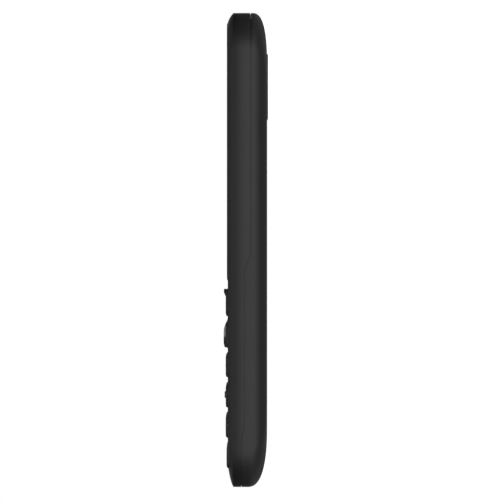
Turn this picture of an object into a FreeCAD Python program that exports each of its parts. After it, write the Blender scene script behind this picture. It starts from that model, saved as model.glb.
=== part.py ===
import FreeCAD, Part
import math
import os
import Sketcher

os.makedirs("parts", exist_ok=True)
doc = FreeCAD.newDocument("BarPhone")
sheet = doc.addObject("Spreadsheet::Sheet", "Sizes")
V = FreeCAD.Vector


# A size keeps its value and the sheet expression it comes from
class Size:
    def __init__(self, text, value):
        self.text = text
        self.value = value

    def __add__(self, other):
        other = size(other)
        return Size("(%s + %s)" % (self.text, other.text), self.value + other.value)

    def __sub__(self, other):
        other = size(other)
        return Size("(%s - %s)" % (self.text, other.text), self.value - other.value)

    def __mul__(self, other):
        other = size(other)
        return Size("(%s * %s)" % (self.text, other.text), self.value * other.value)

    def __truediv__(self, other):
        other = size(other)
        return Size("(%s / %s)" % (self.text, other.text), self.value / other.value)

    def __pow__(self, other):
        other = size(other)
        return Size("(%s ^ %s)" % (self.text, other.text), self.value ** other.value)

    def __radd__(self, other):
        return size(other) + self

    def __rsub__(self, other):
        return size(other) - self

    def __rmul__(self, other):
        return size(other) * self

    def __neg__(self):
        return size(0) - self


def size(value):
    if isinstance(value, Size):
        return value
    return Size("(%r)" % float(value), float(value))


def least(first, second):
    first = size(first)
    second = size(second)
    return Size("min(%s; %s)" % (first.text, second.text), min(first.value, second.value))


next_row = 0


def cell(name, value):
    global next_row
    next_row += 1
    place = "A%d" % next_row
    sheet.set(place, str(value))
    sheet.setAlias(place, name)
    return Size("Sizes." + name, float(value))


# Whole phone
body_length = cell("body_length", 124)
body_width = cell("body_width", 53)
body_depth = cell("body_depth", 10.28)
camera_bump = cell("camera_bump", 0.24)
corner_radius = cell("corner_radius", 10)

# Rolled edges, back and front: rises, the back ones as shares of the depth, and insets
back_share_top = cell("back_share_top", 0.39)
back_share_bottom = cell("back_share_bottom", 0.501)
back_share_side = cell("back_share_side", 0.42)
back_inset_top = cell("back_inset_top", 14.3)
back_inset_bottom = cell("back_inset_bottom", 15.4)
back_inset_side = cell("back_inset_side", 4.8)
front_rise = cell("front_rise", 1.5)
front_inset_top = cell("front_inset_top", 2.4)
front_inset_bottom = cell("front_inset_bottom", 6.2)
front_inset_side = cell("front_inset_side", 2)

# Walls and the seam between front housing and battery cover
wall_back = cell("wall_back", 1)
wall_side = cell("wall_side", 1.2)
wall_front = cell("wall_front", 1.24)
seam_height = cell("seam_height", 4.35)
seam_step = cell("seam_step", 1.57)
seam_step_low = cell("seam_step_low", 0.79)
seam_step_length = cell("seam_step_length", 5)
seam_step_start = cell("seam_step_start", 0.65)
seam_low_start = cell("seam_low_start", 45)
seam_gap = cell("seam_gap", 0.2)
tab_thickness = cell("tab_thickness", 0.45)
tab_gap = cell("tab_gap", 0.1)
tab_length = cell("tab_length", 6)
tab_rise = cell("tab_rise", 1.1)
tab_room = cell("tab_room", 0.2)
pry_notch_radius = cell("pry_notch_radius", 0.7)
pry_notch_depth = cell("pry_notch_depth", 0.45)
chassis_gap = cell("chassis_gap", 0.25)

# Display window and display
window_length = cell("window_length", 67.4)
window_width = cell("window_width", 46.8)
window_thickness = cell("window_thickness", 0.85)
window_proud = cell("window_proud", 0.24)
window_top_edge = cell("window_top_edge", 2.6)
window_radius = cell("window_radius", 8)
window_gap = cell("window_gap", 0.1)
adhesive = cell("adhesive", 0.1)
adhesive_width = cell("adhesive_width", 2)
display_length = cell("display_length", 55)
display_width = cell("display_width", 40.6)
display_down = cell("display_down", 5.6)
view_length = cell("view_length", 50.4)
view_width = cell("view_width", 38)
display_foam = cell("display_foam", 0.15)
bracket_sheet = cell("bracket_sheet", 0.15)
bracket_side = cell("bracket_side", 0.9)
bracket_gap = cell("bracket_gap", 0.1)
flex_width = cell("flex_width", 14)
flex_sheet = cell("flex_sheet", 0.15)
flex_reach = cell("flex_reach", 1)
ear_slot_length = cell("ear_slot_length", 9)
ear_slot_width = cell("ear_slot_width", 1.6)
ear_slot_down = cell("ear_slot_down", 6.2)
grille_sheet = cell("grille_sheet", 0.25)
grille_gap = cell("grille_gap", 0.06)
receiver_length = cell("receiver_length", 10)
receiver_width = cell("receiver_width", 6)
receiver_gap = cell("receiver_gap", 0.15)

# Keys
key_width = cell("key_width", 13.4)
key_pitch_x = cell("key_pitch_x", 15.2)
key_length = cell("key_length", 6.1)
key_pitch_y = cell("key_pitch_y", 7.9)
key_row_first = cell("key_row_first", 30.2)
key_radius = cell("key_radius", 1.6)
key_gap = cell("key_gap", 0.15)
key_proud = cell("key_proud", 0.55)
key_proud_last = cell("key_proud_last", 0.33)
key_edge = cell("key_edge", 0.35)
key_flange = cell("key_flange", 0.5)
key_flange_side = cell("key_flange_side", 0.35)
flange_gap = cell("flange_gap", 0.15)
side_key_width = cell("side_key_width", 12.6)
side_key_length = cell("side_key_length", 6.9)
side_key_offset = cell("side_key_offset", 15.6)
side_key_first = cell("side_key_first", 13.85)
side_key_second = cell("side_key_second", 22.15)
nib_proud = cell("nib_proud", 0.34)
nib_length = cell("nib_length", 2.4)
nib_width = cell("nib_width", 1.8)

# Navigation key
nav_width = cell("nav_width", 15.6)
nav_length = cell("nav_length", 15.4)
nav_down = cell("nav_down", 17.9)
nav_radius = cell("nav_radius", 3.4)
nav_crest = cell("nav_crest", 1.12)
nav_crest_top = cell("nav_crest_top", 1)
nav_crest_low = cell("nav_crest_low", 3.2)
nav_flange = cell("nav_flange", 0.35)
nav_centre_radius = cell("nav_centre_radius", 3.5)
nav_centre_gap = cell("nav_centre_gap", 0.2)
nav_underside = cell("nav_underside", 0.8)
nav_underside_radius = cell("nav_underside_radius", 5.8)
nav_rocker_sheet = cell("nav_rocker_sheet", 0.25)
nav_rocker_inner = cell("nav_rocker_inner", 4.4)
nav_rocker_outer = cell("nav_rocker_outer", 5.5)
nav_press_edge = cell("nav_press_edge", 1.9)
nav_centre_flange = cell("nav_centre_flange", 0.4)
nav_centre_sunk = cell("nav_centre_sunk", 0.02)

# Keypad mat, dome sheet and key lights
mat_web = cell("mat_web", 0.3)
mat_nub_height = cell("mat_nub_height", 0.45)
mat_nub_radius = cell("mat_nub_radius", 1.1)
mat_nub_gap = cell("mat_nub_gap", 0.1)
mat_rim = cell("mat_rim", 0.8)
mat_margin = cell("mat_margin", 0.4)
dome_film = cell("dome_film", 0.1)
dome_height = cell("dome_height", 0.25)
dome_radius = cell("dome_radius", 2)
led_length = cell("led_length", 1.6)
led_width = cell("led_width", 0.8)
led_height = cell("led_height", 0.5)

# Main board and what is soldered to it
board_thickness = cell("board_thickness", 0.8)
board_edge = cell("board_edge", 0.7)
board_end_low = cell("board_end_low", 5)
board_end_high = cell("board_end_high", 1.9)
board_gap = cell("board_gap", 0.1)
shield_height = cell("shield_height", 1.3)
shield_sheet = cell("shield_sheet", 0.2)
shield_length = cell("shield_length", 16.4)
shield_wide = cell("shield_wide", 17)
shield_narrow = cell("shield_narrow", 13.6)
shield_gap = cell("shield_gap", 0.35)
shield_row = cell("shield_row", 38.4)
chip_height = cell("chip_height", 0.8)
sim_width = cell("sim_width", 15.8)
sim_length = cell("sim_length", 25.4)
sim_height = cell("sim_height", 1.4)
sim_row = cell("sim_row", 16)
sim_a_x = cell("sim_a_x", 14.4)
sim_b_x = cell("sim_b_x", 2.2)
sim_wall = cell("sim_wall", 0.3)
memory_width = cell("memory_width", 11.6)
memory_length = cell("memory_length", 15)
memory_x = cell("memory_x", 16.5)
memory_row = cell("memory_row", 21.2)

# Sockets at the top end
jack_bore = cell("jack_bore", 1.8)
jack_x = cell("jack_x", 12)
jack_width = cell("jack_width", 6)
jack_height = cell("jack_height", 4)
jack_length = cell("jack_length", 12)
jack_depth = cell("jack_depth", 11)
jack_wall_gap = cell("jack_wall_gap", 0.8)
usb_wall_gap = cell("usb_wall_gap", 0.15)
usb_x = cell("usb_x", 10)
usb_width = cell("usb_width", 7.6)
usb_height = cell("usb_height", 2.6)
usb_length = cell("usb_length", 5.4)
usb_sheet = cell("usb_sheet", 0.3)
usb_hole_gap = cell("usb_hole_gap", 0.5)
notch_gap = cell("notch_gap", 0.3)

# Battery and chassis
battery_length = cell("battery_length", 46)
battery_width = cell("battery_width", 38)
battery_thickness = cell("battery_thickness", 4.4)
battery_down = cell("battery_down", 21.2)
battery_gap = cell("battery_gap", 0.2)
chassis_web = cell("chassis_web", 0.8)
chassis_rim = cell("chassis_rim", 2)
room_gap = cell("room_gap", 0.2)
shelf_gap = cell("shelf_gap", 0.1)
card_gap = cell("card_gap", 0.4)
screw_radius = cell("screw_radius", 0.75)
screw_head_radius = cell("screw_head_radius", 1.4)
screw_head_height = cell("screw_head_height", 0.8)
screw_seat = cell("screw_seat", 2.1)
screw_length = cell("screw_length", 5.2)
screw_gap = cell("screw_gap", 0.2)
boss_radius = cell("boss_radius", 1.3)
boss_gap = cell("boss_gap", 0.35)
screw_top_x = cell("screw_top_x", 20.5)
screw_top_y = cell("screw_top_y", 53.5)
screw_mid_x = cell("screw_mid_x", 22.6)
screw_mid_y = cell("screw_mid_y", 4)

# Camera, flash, loudspeaker, motor, microphone and antenna
camera_row = cell("camera_row", 42.9)
plate_width = cell("plate_width", 27)
plate_length = cell("plate_length", 17)
plate_radius = cell("plate_radius", 5)
plate_thickness = cell("plate_thickness", 0.64)
plate_gap = cell("plate_gap", 0.05)
plate_edge = cell("plate_edge", 0.18)
camera_width = cell("camera_width", 8.4)
camera_height = cell("camera_height", 2.6)
barrel_radius = cell("barrel_radius", 2.9)
barrel_height = cell("barrel_height", 1.9)
camera_glass_radius = cell("camera_glass_radius", 3.3)
camera_glass_thickness = cell("camera_glass_thickness", 0.5)
camera_glass_sunk = cell("camera_glass_sunk", 0.08)
flash_x = cell("flash_x", 7.4)
flash_radius = cell("flash_radius", 1.2)
flash_gap = cell("flash_gap", 0.25)
flash_led_width = cell("flash_led_width", 2.4)
flash_led_height = cell("flash_led_height", 0.8)
speaker_x = cell("speaker_x", 16.2)
speaker_row = cell("speaker_row", 49.6)
speaker_width = cell("speaker_width", 12.6)
speaker_length = cell("speaker_length", 8.8)
speaker_height = cell("speaker_height", 2.8)
speaker_radius = cell("speaker_radius", 2.6)
speaker_mesh_sheet = cell("speaker_mesh_sheet", 0.2)
speaker_slot_length = cell("speaker_slot_length", 5)
speaker_slot_width = cell("speaker_slot_width", 1)
speaker_slot_pitch = cell("speaker_slot_pitch", 2)
motor_row = cell("motor_row", 50)
motor_x = cell("motor_x", 18.4)
motor_radius = cell("motor_radius", 1.9)
motor_length = cell("motor_length", 6.4)
motor_shaft = cell("motor_shaft", 0.4)
weight_length = cell("weight_length", 2.6)
weight_radius = cell("weight_radius", 1.8)
weight_gap = cell("weight_gap", 0.35)
mic_width = cell("mic_width", 3.8)
mic_length = cell("mic_length", 3)
mic_height = cell("mic_height", 1.1)
mic_row = cell("mic_row", 54.6)
mic_hole = cell("mic_hole", 0.5)
mic_hole_rise = cell("mic_hole_rise", 0.6)
antenna_width = cell("antenna_width", 11.6)
antenna_length = cell("antenna_length", 5)
antenna_sheet = cell("antenna_sheet", 0.3)
antenna_row = cell("antenna_row", 54)
antenna_room = cell("antenna_room", 2)
contact_width = cell("contact_width", 7.4)
contact_length = cell("contact_length", 2)
contact_gap = cell("contact_gap", 0.4)

# Heights that follow from the stack
back_z = camera_bump
face_z = camera_bump + body_depth
floor_z = back_z + wall_back
wall_z = face_z - wall_front
flange_z = wall_z - flange_gap - key_flange
mat_z = flange_z - mat_web
nub_z = mat_z - mat_nub_height
board_top = nub_z - mat_nub_gap - dome_height
board_low = board_top - board_thickness
chassis_top = board_low - board_gap
chassis_low = floor_z + chassis_gap
window_z = face_z + window_proud - window_thickness
ledge_z = window_z - adhesive
display_z = board_top + bracket_sheet
display_top = wall_z - display_foam
seam_z = back_z + seam_height
top_y = body_length / 2
low_y = -body_length / 2
inner_top_y = top_y - wall_side
inner_low_y = low_y + wall_side
window_y = top_y - window_top_edge - window_length / 2
display_y = window_y - display_down
ear_y = top_y - window_top_edge - ear_slot_down
nav_y = -nav_down
jack_z = wall_z - 0.1 - jack_height / 2
usb_z = (board_top + board_low) / 2

# Places that follow from the neighbours
jack_front = inner_top_y - jack_wall_gap
jack_room_low = jack_front - jack_length - notch_gap
usb_front = inner_top_y - usb_wall_gap
usb_room_low = usb_front - usb_length - notch_gap
chassis_inset = wall_side + chassis_gap
chassis_inner_x = body_width / 2 - chassis_inset - chassis_rim
shield_edge_x = chassis_inner_x - shield_gap
shield_wide_x = shield_edge_x - shield_wide / 2
shield_narrow_x = shield_edge_x - shield_narrow / 2
motor_z = chassis_top - motor_radius - shelf_gap
contact_x = sim_b_x + sim_width / 2 + contact_gap + contact_width / 2
contact_y = battery_length / 2 - battery_down + battery_gap + contact_length / 2


def tie(thing, name, value):
    thing.setExpression(name, size(value).text)


def new_body(label):
    body = doc.addObject("PartDesign::Body", label)
    body.Label = label
    return body


def plane(body, role):
    return [item for item in body.Origin.OriginFeatures if item.Role == role][0]


def new_sketch(body, name, role, height):
    sketch = body.newObject("Sketcher::SketchObject", name)
    sketch.AttachmentSupport = [(plane(body, role), "")]
    sketch.MapMode = "FlatFace"
    tie(sketch, "AttachmentOffset.Base.z", height)
    return sketch


def rule(rules, kind, *args):
    rules.append((Sketcher.Constraint(kind, *args), None))


def fix_value(rules, kind, args, value):
    value = size(value)
    rules.append((Sketcher.Constraint(kind, *args, value.value), value.text))


def fix_point(rules, item, end, x, y):
    fix_value(rules, "DistanceX", (-1, 1, item, end), x)
    fix_value(rules, "DistanceY", (-1, 1, item, end), y)


def draw_shapes(sketch, shapes):
    rules = []
    for shape in shapes:
        shape(sketch, rules)
    sketch.addConstraint([item for item, text in rules])
    for index, (item, text) in enumerate(rules):
        if text:
            sketch.setExpression("Constraints[%d]" % index, text)


def disc(x, y, radius):
    def draw(sketch, rules):
        cx, cy, r = size(x), size(y), size(radius)
        item = sketch.addGeometry(Part.Circle(V(cx.value, cy.value, 0), V(0, 0, 1), r.value), False)
        fix_value(rules, "Radius", (item,), r)
        fix_point(rules, item, 3, cx, cy)
    return draw


def polygon(points):
    def draw(sketch, rules):
        corners = [(size(x), size(y)) for x, y in points]
        count = len(corners)
        lines = []
        for i in range(count):
            a, b = corners[i], corners[(i + 1) % count]
            lines.append(Part.LineSegment(V(a[0].value, a[1].value, 0), V(b[0].value, b[1].value, 0)))
        first = sketch.addGeometry(lines, False)[0]
        for i in range(count):
            rule(rules, "Coincident", first + i, 2, first + (i + 1) % count, 1)
            fix_point(rules, first + i, 1, corners[i][0], corners[i][1])
    return draw


def rectangle(x, y, width, length):
    x, y, a, b = size(x), size(y), size(width) / 2, size(length) / 2
    return polygon([(x - a, y - b), (x + a, y - b), (x + a, y + b), (x - a, y + b)])


def rounded(x, y, width, length, radius):
    def draw(sketch, rules):
        cx, cy, r = size(x), size(y), size(radius)
        left, right = cx - size(width) / 2, cx + size(width) / 2
        low, high = cy - size(length) / 2, cy + size(length) / 2
        x0, x1, y0, y1, q = left.value, right.value, low.value, high.value, r.value

        def line(ax, ay, bx, by):
            return Part.LineSegment(V(ax, ay, 0), V(bx, by, 0))

        def arc(ax, ay, turn):
            circle = Part.Circle(V(ax, ay, 0), V(0, 0, 1), q)
            return Part.ArcOfCircle(circle, turn * math.pi / 2, (turn + 1) * math.pi / 2)

        parts = [line(x0 + q, y0, x1 - q, y0), arc(x1 - q, y0 + q, -1),
                 line(x1, y0 + q, x1, y1 - q), arc(x1 - q, y1 - q, 0),
                 line(x1 - q, y1, x0 + q, y1), arc(x0 + q, y1 - q, 1),
                 line(x0, y1 - q, x0, y0 + q), arc(x0 + q, y0 + q, 2)]
        n = sketch.addGeometry(parts, False)[0]
        for i in range(8):
            rule(rules, "Tangent", n + i, 2, n + (i + 1) % 8, 1)
        for i in (0, 4):
            rule(rules, "Horizontal", n + i)
            rule(rules, "Vertical", n + i + 2)
        for i in (3, 5, 7):
            rule(rules, "Equal", n + 1, n + i)
        fix_value(rules, "Radius", (n + 1,), r)
        fix_value(rules, "DistanceX", (-1, 1, n + 6, 1), left)
        fix_value(rules, "DistanceX", (-1, 1, n + 2, 1), right)
        fix_value(rules, "DistanceY", (-1, 1, n, 1), low)
        fix_value(rules, "DistanceY", (-1, 1, n + 4, 1), high)
    return draw


def extrude(body, kind, name, shapes, height, length, role, both, reverse):
    sketch = new_sketch(body, name + "_sketch", role, height)
    draw_shapes(sketch, shapes)
    feature = body.newObject("PartDesign::" + kind, name)
    feature.Profile = sketch
    tie(feature, "Length", length)
    if both:
        feature.SideType = "Symmetric"
    feature.Reversed = reverse
    sketch.Visibility = False
    body.Tip = feature
    return feature


def pad(body, name, shapes, low, high, role="XY_Plane"):
    return extrude(body, "Pad", name, shapes, low, size(high) - size(low), role, False, False)


def cut(body, name, shapes, low, high, role="XY_Plane"):
    return extrude(body, "Pocket", name, shapes, high, size(high) - size(low), role, False, False)


def pad_across(body, name, shapes, centre, width, role="YZ_Plane"):
    return extrude(body, "Pad", name, shapes, centre, width, role, True, False)


def cut_across(body, name, shapes, centre, width, role="YZ_Plane"):
    return extrude(body, "Pocket", name, shapes, centre, width, role, True, False)


def soften(body, name, radius, wanted, kind="Fillet"):
    doc.recompute()
    before = body.Tip
    edges = ["Edge%d" % (i + 1) for i, edge in enumerate(before.Shape.Edges) if wanted(edge)]
    feature = body.newObject("PartDesign::" + kind, name)
    feature.Base = (before, edges)
    tie(feature, "Radius" if kind == "Fillet" else "Size", radius)
    body.Tip = feature
    return feature


def at_height(value):
    height = size(value).value

    def wanted(edge):
        box = edge.BoundBox
        return abs(box.ZMin - height) < 1e-4 and abs(box.ZMax - height) < 1e-4
    return wanted


# The phone's outside form, a loft through rounded outlines that shrink
# towards the back and the front the way the real edges roll over
BACK_STEPS = (0, 0.02, 0.06, 0.12, 0.2, 0.31, 0.46, 0.68, 1)
SIDE_STEPS = (0.72, 0.48)
FRONT_STEPS = (1, 0.72, 0.48, 0.28, 0.12, 0.03, 0)
# How square each roll is: 2 is an ellipse, more is fuller, less is flatter
BACK_SIDE_POWER, BACK_TOP_POWER, BACK_BOTTOM_POWER = 2.4, 2.75, 2.48
FRONT_SIDE_POWER, FRONT_TOP_POWER, FRONT_BOTTOM_POWER = 2.2, 1.25, 1.4
# The room inside rolls in less under the front face, where the key flanges lie
INNER_SHARE = 0.25


def rolled(height, rise, inset, power):
    left = 1 - least(height / rise, 1)
    return inset * (1 - (1 - left ** power) ** (1 / power))


def form_levels(low, high, front_share):
    depth = high - low
    back = depth * back_share_bottom
    front = depth - back
    heights = [low + back * step for step in BACK_STEPS]
    heights += [high - front_rise - (front - front_rise) * step for step in SIDE_STEPS]
    heights += [high - front_rise * step for step in FRONT_STEPS]
    levels = []
    for i, z in enumerate(heights):
        if i < len(BACK_STEPS):
            h = z - low
            levels.append((z, rolled(h, depth * back_share_side, back_inset_side, BACK_SIDE_POWER),
                           rolled(h, depth * back_share_top, back_inset_top, BACK_TOP_POWER),
                           rolled(h, back, back_inset_bottom, BACK_BOTTOM_POWER)))
        else:
            h = high - z
            levels.append((z, rolled(h, front, front_inset_side, FRONT_SIDE_POWER) * front_share,
                           rolled(h, front_rise, front_inset_top, FRONT_TOP_POWER) * front_share,
                           rolled(h, front_rise, front_inset_bottom, FRONT_BOTTOM_POWER) * front_share))
    return levels


def form(body, name, kind, inset, low, high, front_share=1):
    sketches = []
    for i, (z, side, top, bottom) in enumerate(form_levels(low, high, front_share)):
        upper = top_y - inset - top
        lower = low_y + inset + bottom
        sketch = new_sketch(body, "%s_level_%d" % (name, i), "XY_Plane", z)
        draw_shapes(sketch, [rounded(0, (upper + lower) / 2, body_width - (inset + side) * 2,
                                     upper - lower, corner_radius - inset)])
        sketch.Visibility = False
        sketches.append(sketch)
    loft = body.newObject("PartDesign::" + kind, name)
    loft.Profile = sketches[0]
    loft.Sections = sketches[1:]
    loft.Ruled = True
    body.Tip = loft
    return loft


# The seam line, from the top end over the S step to the bottom end
SEAM_STEPS = 8


def seam_line(shift):
    reach = top_y + 5
    points = [(reach, seam_z + shift)]
    start = -seam_step_start
    for i in range(SEAM_STEPS + 1):
        share = i / SEAM_STEPS
        points.append((start - seam_step_length * share,
                       seam_z + shift + seam_step * (0.5 - 0.5 * math.cos(math.pi * share))))
    low_start = -seam_low_start
    for i in range(SEAM_STEPS + 1):
        share = i / SEAM_STEPS
        points.append((low_start - seam_step_length * share,
                       seam_z + shift + seam_step + seam_step_low * (0.5 - 0.5 * math.cos(math.pi * share))))
    points.append((-reach, seam_z + shift + seam_step + seam_step_low))
    return points


def key_rows():
    return [(-(key_row_first + key_pitch_y * row)) for row in range(4)]


NUMBER_KEYS = (("key_1", -1, 0), ("key_2", 0, 0), ("key_3", 1, 0),
               ("key_4", -1, 1), ("key_5", 0, 1), ("key_6", 1, 1),
               ("key_7", -1, 2), ("key_8", 0, 2), ("key_9", 1, 2),
               ("key_star", -1, 3), ("key_0", 0, 3), ("key_hash", 1, 3))
SIDE_KEYS = (("soft_key_left", -1, side_key_first), ("soft_key_right", 1, side_key_first),
             ("call_key", -1, side_key_second), ("end_key", 1, side_key_second))


def key_places():
    rows = key_rows()
    places = [(key_pitch_x * column, rows[row]) for name, column, row in NUMBER_KEYS]
    places += [(side_key_offset * side, -down) for name, side, down in SIDE_KEYS]
    return places


# Six screws: two at the top corners, two below the battery's contacts and two
# between the two last key rows, where they pass through the keypad mat
def low_screw_places():
    row = -(key_row_first + key_pitch_y * 2.5)
    return [(key_pitch_x * (side * 0.5), row) for side in (-1, 1)]


def screw_places():
    places = low_screw_places()
    for side in (-1, 1):
        places.append((screw_top_x * side, screw_top_y))
        places.append((screw_mid_x * side, -screw_mid_y))
    return places


def light_places():
    places = []
    for side in (-1, 1):
        for row in (-0.5, 0.5, 1.5):
            places.append((key_pitch_x * (side * 0.5), -(key_row_first + key_pitch_y * row)))
    return places


# Clip tabs of the cover: along the sides, upright inside the housing's wall
def tab_places():
    places = []
    for side in (-1, 1):
        for y, rise in ((34, 0), (8, 0), (-24, 1)):
            places.append((side, size(y), seam_z + seam_step * rise))
    return places


def tab_box(side, y, thickness, length, grow):
    outer = body_width / 2 - wall_side - tab_gap + grow
    return rectangle((outer - thickness / 2) * side, y, thickness, length)


# Front housing: face, key apertures, window recess, end walls and screw bosses
def front_housing():
    body = new_body("front_housing")
    form(body, "housing_form", "AdditiveLoft", size(0), back_z, face_z)
    form(body, "housing_room", "SubtractiveLoft", wall_side, floor_z, wall_z, INNER_SHARE)
    below = seam_line(seam_gap / 2)
    reach = top_y + 5
    below += [(-reach, size(-5)), (reach, size(-5))]
    cut_across(body, "housing_seam", [polygon(below)], 0, body_width * 2)
    pad(body, "screw_bosses", [disc(x, y, boss_radius) for x, y in screw_places()], chassis_top, wall_z + 0.4)
    cut(body, "screw_pilots", [disc(x, y, screw_radius) for x, y in screw_places()],
        chassis_top - 1, wall_z - 0.2)
    cut(body, "window_recess",
        [rounded(0, window_y, window_width + window_gap * 2, window_length + window_gap * 2,
                 window_radius + window_gap)], ledge_z, face_z + 1)
    cut(body, "display_view", [rounded(0, display_y, view_width, view_length, 1)], wall_z - 1, face_z + 1)
    cut(body, "ear_slot", [rounded(0, ear_y, ear_slot_length - 1, ear_slot_width - 0.6, 0.45)],
        wall_z - 1, face_z + 1)
    for y in key_rows():
        holes = [rounded(key_pitch_x * column, y, key_width + key_gap * 2, key_length + key_gap * 2,
                         key_radius + key_gap) for column in (-1, 0, 1)]
        cut(body, "key_holes", holes, wall_z - 1, face_z + 1)
    holes = [rounded(side_key_offset * side, -down, side_key_width + key_gap * 2,
                     side_key_length + key_gap * 2, key_radius + key_gap) for name, side, down in SIDE_KEYS]
    holes.append(rounded(0, nav_y, nav_width + key_gap * 2, nav_length + key_gap * 2,
                         nav_radius + key_gap))
    cut(body, "side_key_holes", holes, wall_z - 1, face_z + 1)
    cut(body, "jack_hole", [disc(-jack_x, jack_z, jack_bore)],
        -(top_y + 1), -(inner_top_y - 1), "XZ_Plane")
    cut(body, "usb_hole", [rounded(usb_x, usb_z, usb_width + usb_hole_gap * 2,
                                   usb_height + usb_hole_gap * 2, 1.2)],
        -(top_y + 1), -(inner_top_y - 1), "XZ_Plane")
    cut(body, "mic_hole_cut", [disc(0, board_top + mic_hole_rise, mic_hole)],
        -(inner_low_y + 1), -(low_y - 1), "XZ_Plane")
    return body


# Battery cover: the back with its camera hole and loudspeaker slots
def battery_cover():
    body = new_body("battery_cover")
    form(body, "cover_form", "AdditiveLoft", size(0), back_z, face_z)
    form(body, "cover_room", "SubtractiveLoft", wall_side, floor_z, wall_z, INNER_SHARE)
    above = seam_line(-seam_gap / 2)
    reach = top_y + 5
    above += [(-reach, face_z + 5), (reach, face_z + 5)]
    cut_across(body, "cover_seam", [polygon(above)], 0, body_width * 2)
    cut(body, "plate_recess",
        [rounded(0, camera_row, plate_width + plate_gap * 2, plate_length + plate_gap * 2,
                 plate_radius + plate_gap)], back_z - 1, plate_thickness)
    cut(body, "camera_view", [disc(0, camera_row, camera_glass_radius + plate_gap),
                              disc(flash_x, camera_row, flash_radius + flash_gap + plate_gap)], back_z - 1, floor_z + 1)
    slots = []
    for i in (-2, -1, 0, 1, 2):
        slots.append(rounded(speaker_x + speaker_slot_pitch * i, -speaker_row, speaker_slot_width,
                             speaker_slot_length, speaker_slot_width * 0.49))
    cut(body, "speaker_slots", slots, back_z - 1, floor_z + 2)
    for i, (side, y, seam) in enumerate(tab_places()):
        foot = tab_box(side, y, tab_thickness + tab_gap * 3, tab_length, tab_gap * 3)
        pad(body, "tab_foot", [foot], seam - 2.4, seam - 0.6)
        pad(body, "tab", [tab_box(side, y, tab_thickness, tab_length, size(0))], seam - 2.4, seam + tab_rise)
    corner_x = body_width / 2 - corner_radius * (1 - math.sqrt(0.5)) + 0.35
    corner_y = top_y - corner_radius * (1 - math.sqrt(0.5)) + 0.35
    cut(body, "pry_notch", [disc(corner_x, corner_y, pry_notch_radius)],
        seam_z - seam_gap / 2 - pry_notch_depth, seam_z + 1)
    return body


def camera_plate():
    body = new_body("camera_plate")
    pad(body, "plate", [rounded(0, camera_row, plate_width, plate_length, plate_radius),
                        disc(0, camera_row, camera_glass_radius),
                        disc(flash_x, camera_row, flash_radius + flash_gap)], 0, plate_thickness)
    soften(body, "plate_edge", plate_edge, at_height(0))
    return body


def camera_window():
    body = new_body("camera_window")
    pad(body, "glass", [disc(0, camera_row, camera_glass_radius)],
        camera_glass_sunk, camera_glass_sunk + camera_glass_thickness)
    return body


def display_window():
    body = new_body("display_window")
    pad(body, "glass", [rounded(0, window_y, window_width, window_length, window_radius),
                        rounded(0, ear_y, ear_slot_length, ear_slot_width, 0.7)],
        window_z, window_z + window_thickness)
    top = window_z + window_thickness
    soften(body, "glass_edge", 0.25, at_height(top))
    return body


def window_gasket():
    body = new_body("window_gasket")
    pad(body, "tape", [rounded(0, window_y, window_width - 0.4, window_length - 0.4, window_radius - 0.2),
                       rounded(0, display_y, view_width + 0.6, view_length + 0.6, 1.3),
                       rounded(0, ear_y, ear_slot_length + 1, ear_slot_width + 1, 1.2)],
        ledge_z, window_z)
    return body


def earpiece_grille():
    body = new_body("earpiece_grille")
    wide = ear_slot_length - grille_gap * 2
    tall = ear_slot_width - grille_gap * 2
    pad(body, "sheet", [rounded(0, ear_y, wide, tall, 0.6)], ledge_z, ledge_z + grille_sheet)
    holes = [disc(ear_slot_length * (i / 9), ear_y, 0.26) for i in (-3, -2, -1, 0, 1, 2, 3)]
    cut(body, "sound_holes", holes, ledge_z - 1, ledge_z + 1)
    return body


def earpiece_receiver():
    body = new_body("earpiece_receiver")
    pad(body, "case", [rounded(0, ear_y, receiver_length, receiver_width, 2)],
        board_top, wall_z - receiver_gap)
    cut(body, "front_ring", [rounded(0, ear_y, receiver_length - 1.6, receiver_width - 1.6, 1.2),
                             rounded(0, ear_y, receiver_length - 3.2, receiver_width - 3.2, 0.6)],
        wall_z - receiver_gap - 0.25, wall_z)
    return body


def display_module():
    body = new_body("display_module")
    pad(body, "backlight", [rectangle(0, display_y, display_width, display_length)],
        display_z, (display_z + display_top) / 2)
    pad(body, "glass_stack", [rectangle(0, display_y, display_width - 0.8, display_length - 0.8)],
        (display_z + display_top) / 2, display_top)
    return body


def display_bracket():
    body = new_body("display_bracket")
    rim = bracket_sheet + bracket_gap
    pad(body, "tray", [rectangle(0, display_y, display_width + rim * 2, display_length + rim * 2)],
        board_top, display_z)
    pad(body, "tray_sides", [rectangle(0, display_y, display_width + rim * 2, display_length + rim * 2),
                             rectangle(0, display_y, display_width + bracket_gap * 2,
                                       display_length + bracket_gap * 2)],
        display_z, display_z + bracket_side)
    low = display_y - display_length / 2
    cut(body, "flex_gate", [rectangle(0, low - 0.5, flex_width + 0.6, 1.2)],
        display_z, display_z + bracket_side + 1)
    return body


def display_gasket():
    body = new_body("display_gasket")
    pad(body, "foam", [rectangle(0, display_y, display_width - 1, display_length - 1),
                       rectangle(0, display_y, view_width + 0.2, view_length + 0.2)],
        display_top, wall_z)
    return body


# A thin flexible strip, bent from the display's lower edge down to the board
def display_flex():
    body = new_body("display_flex")
    edge = display_y - display_length / 2
    turn = edge - flex_reach
    upper = display_z + 0.45
    tail = edge - 1.9
    points = [(edge, upper), (turn, upper), (turn - flex_sheet, upper - flex_sheet),
              (turn - flex_sheet, board_top + flex_sheet), (tail, board_top + flex_sheet),
              (tail, board_top), (turn, board_top), (turn, upper - flex_sheet),
              (edge, upper - flex_sheet)]
    pad_across(body, "strip", [polygon(points)], 0, flex_width)
    return body


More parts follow.
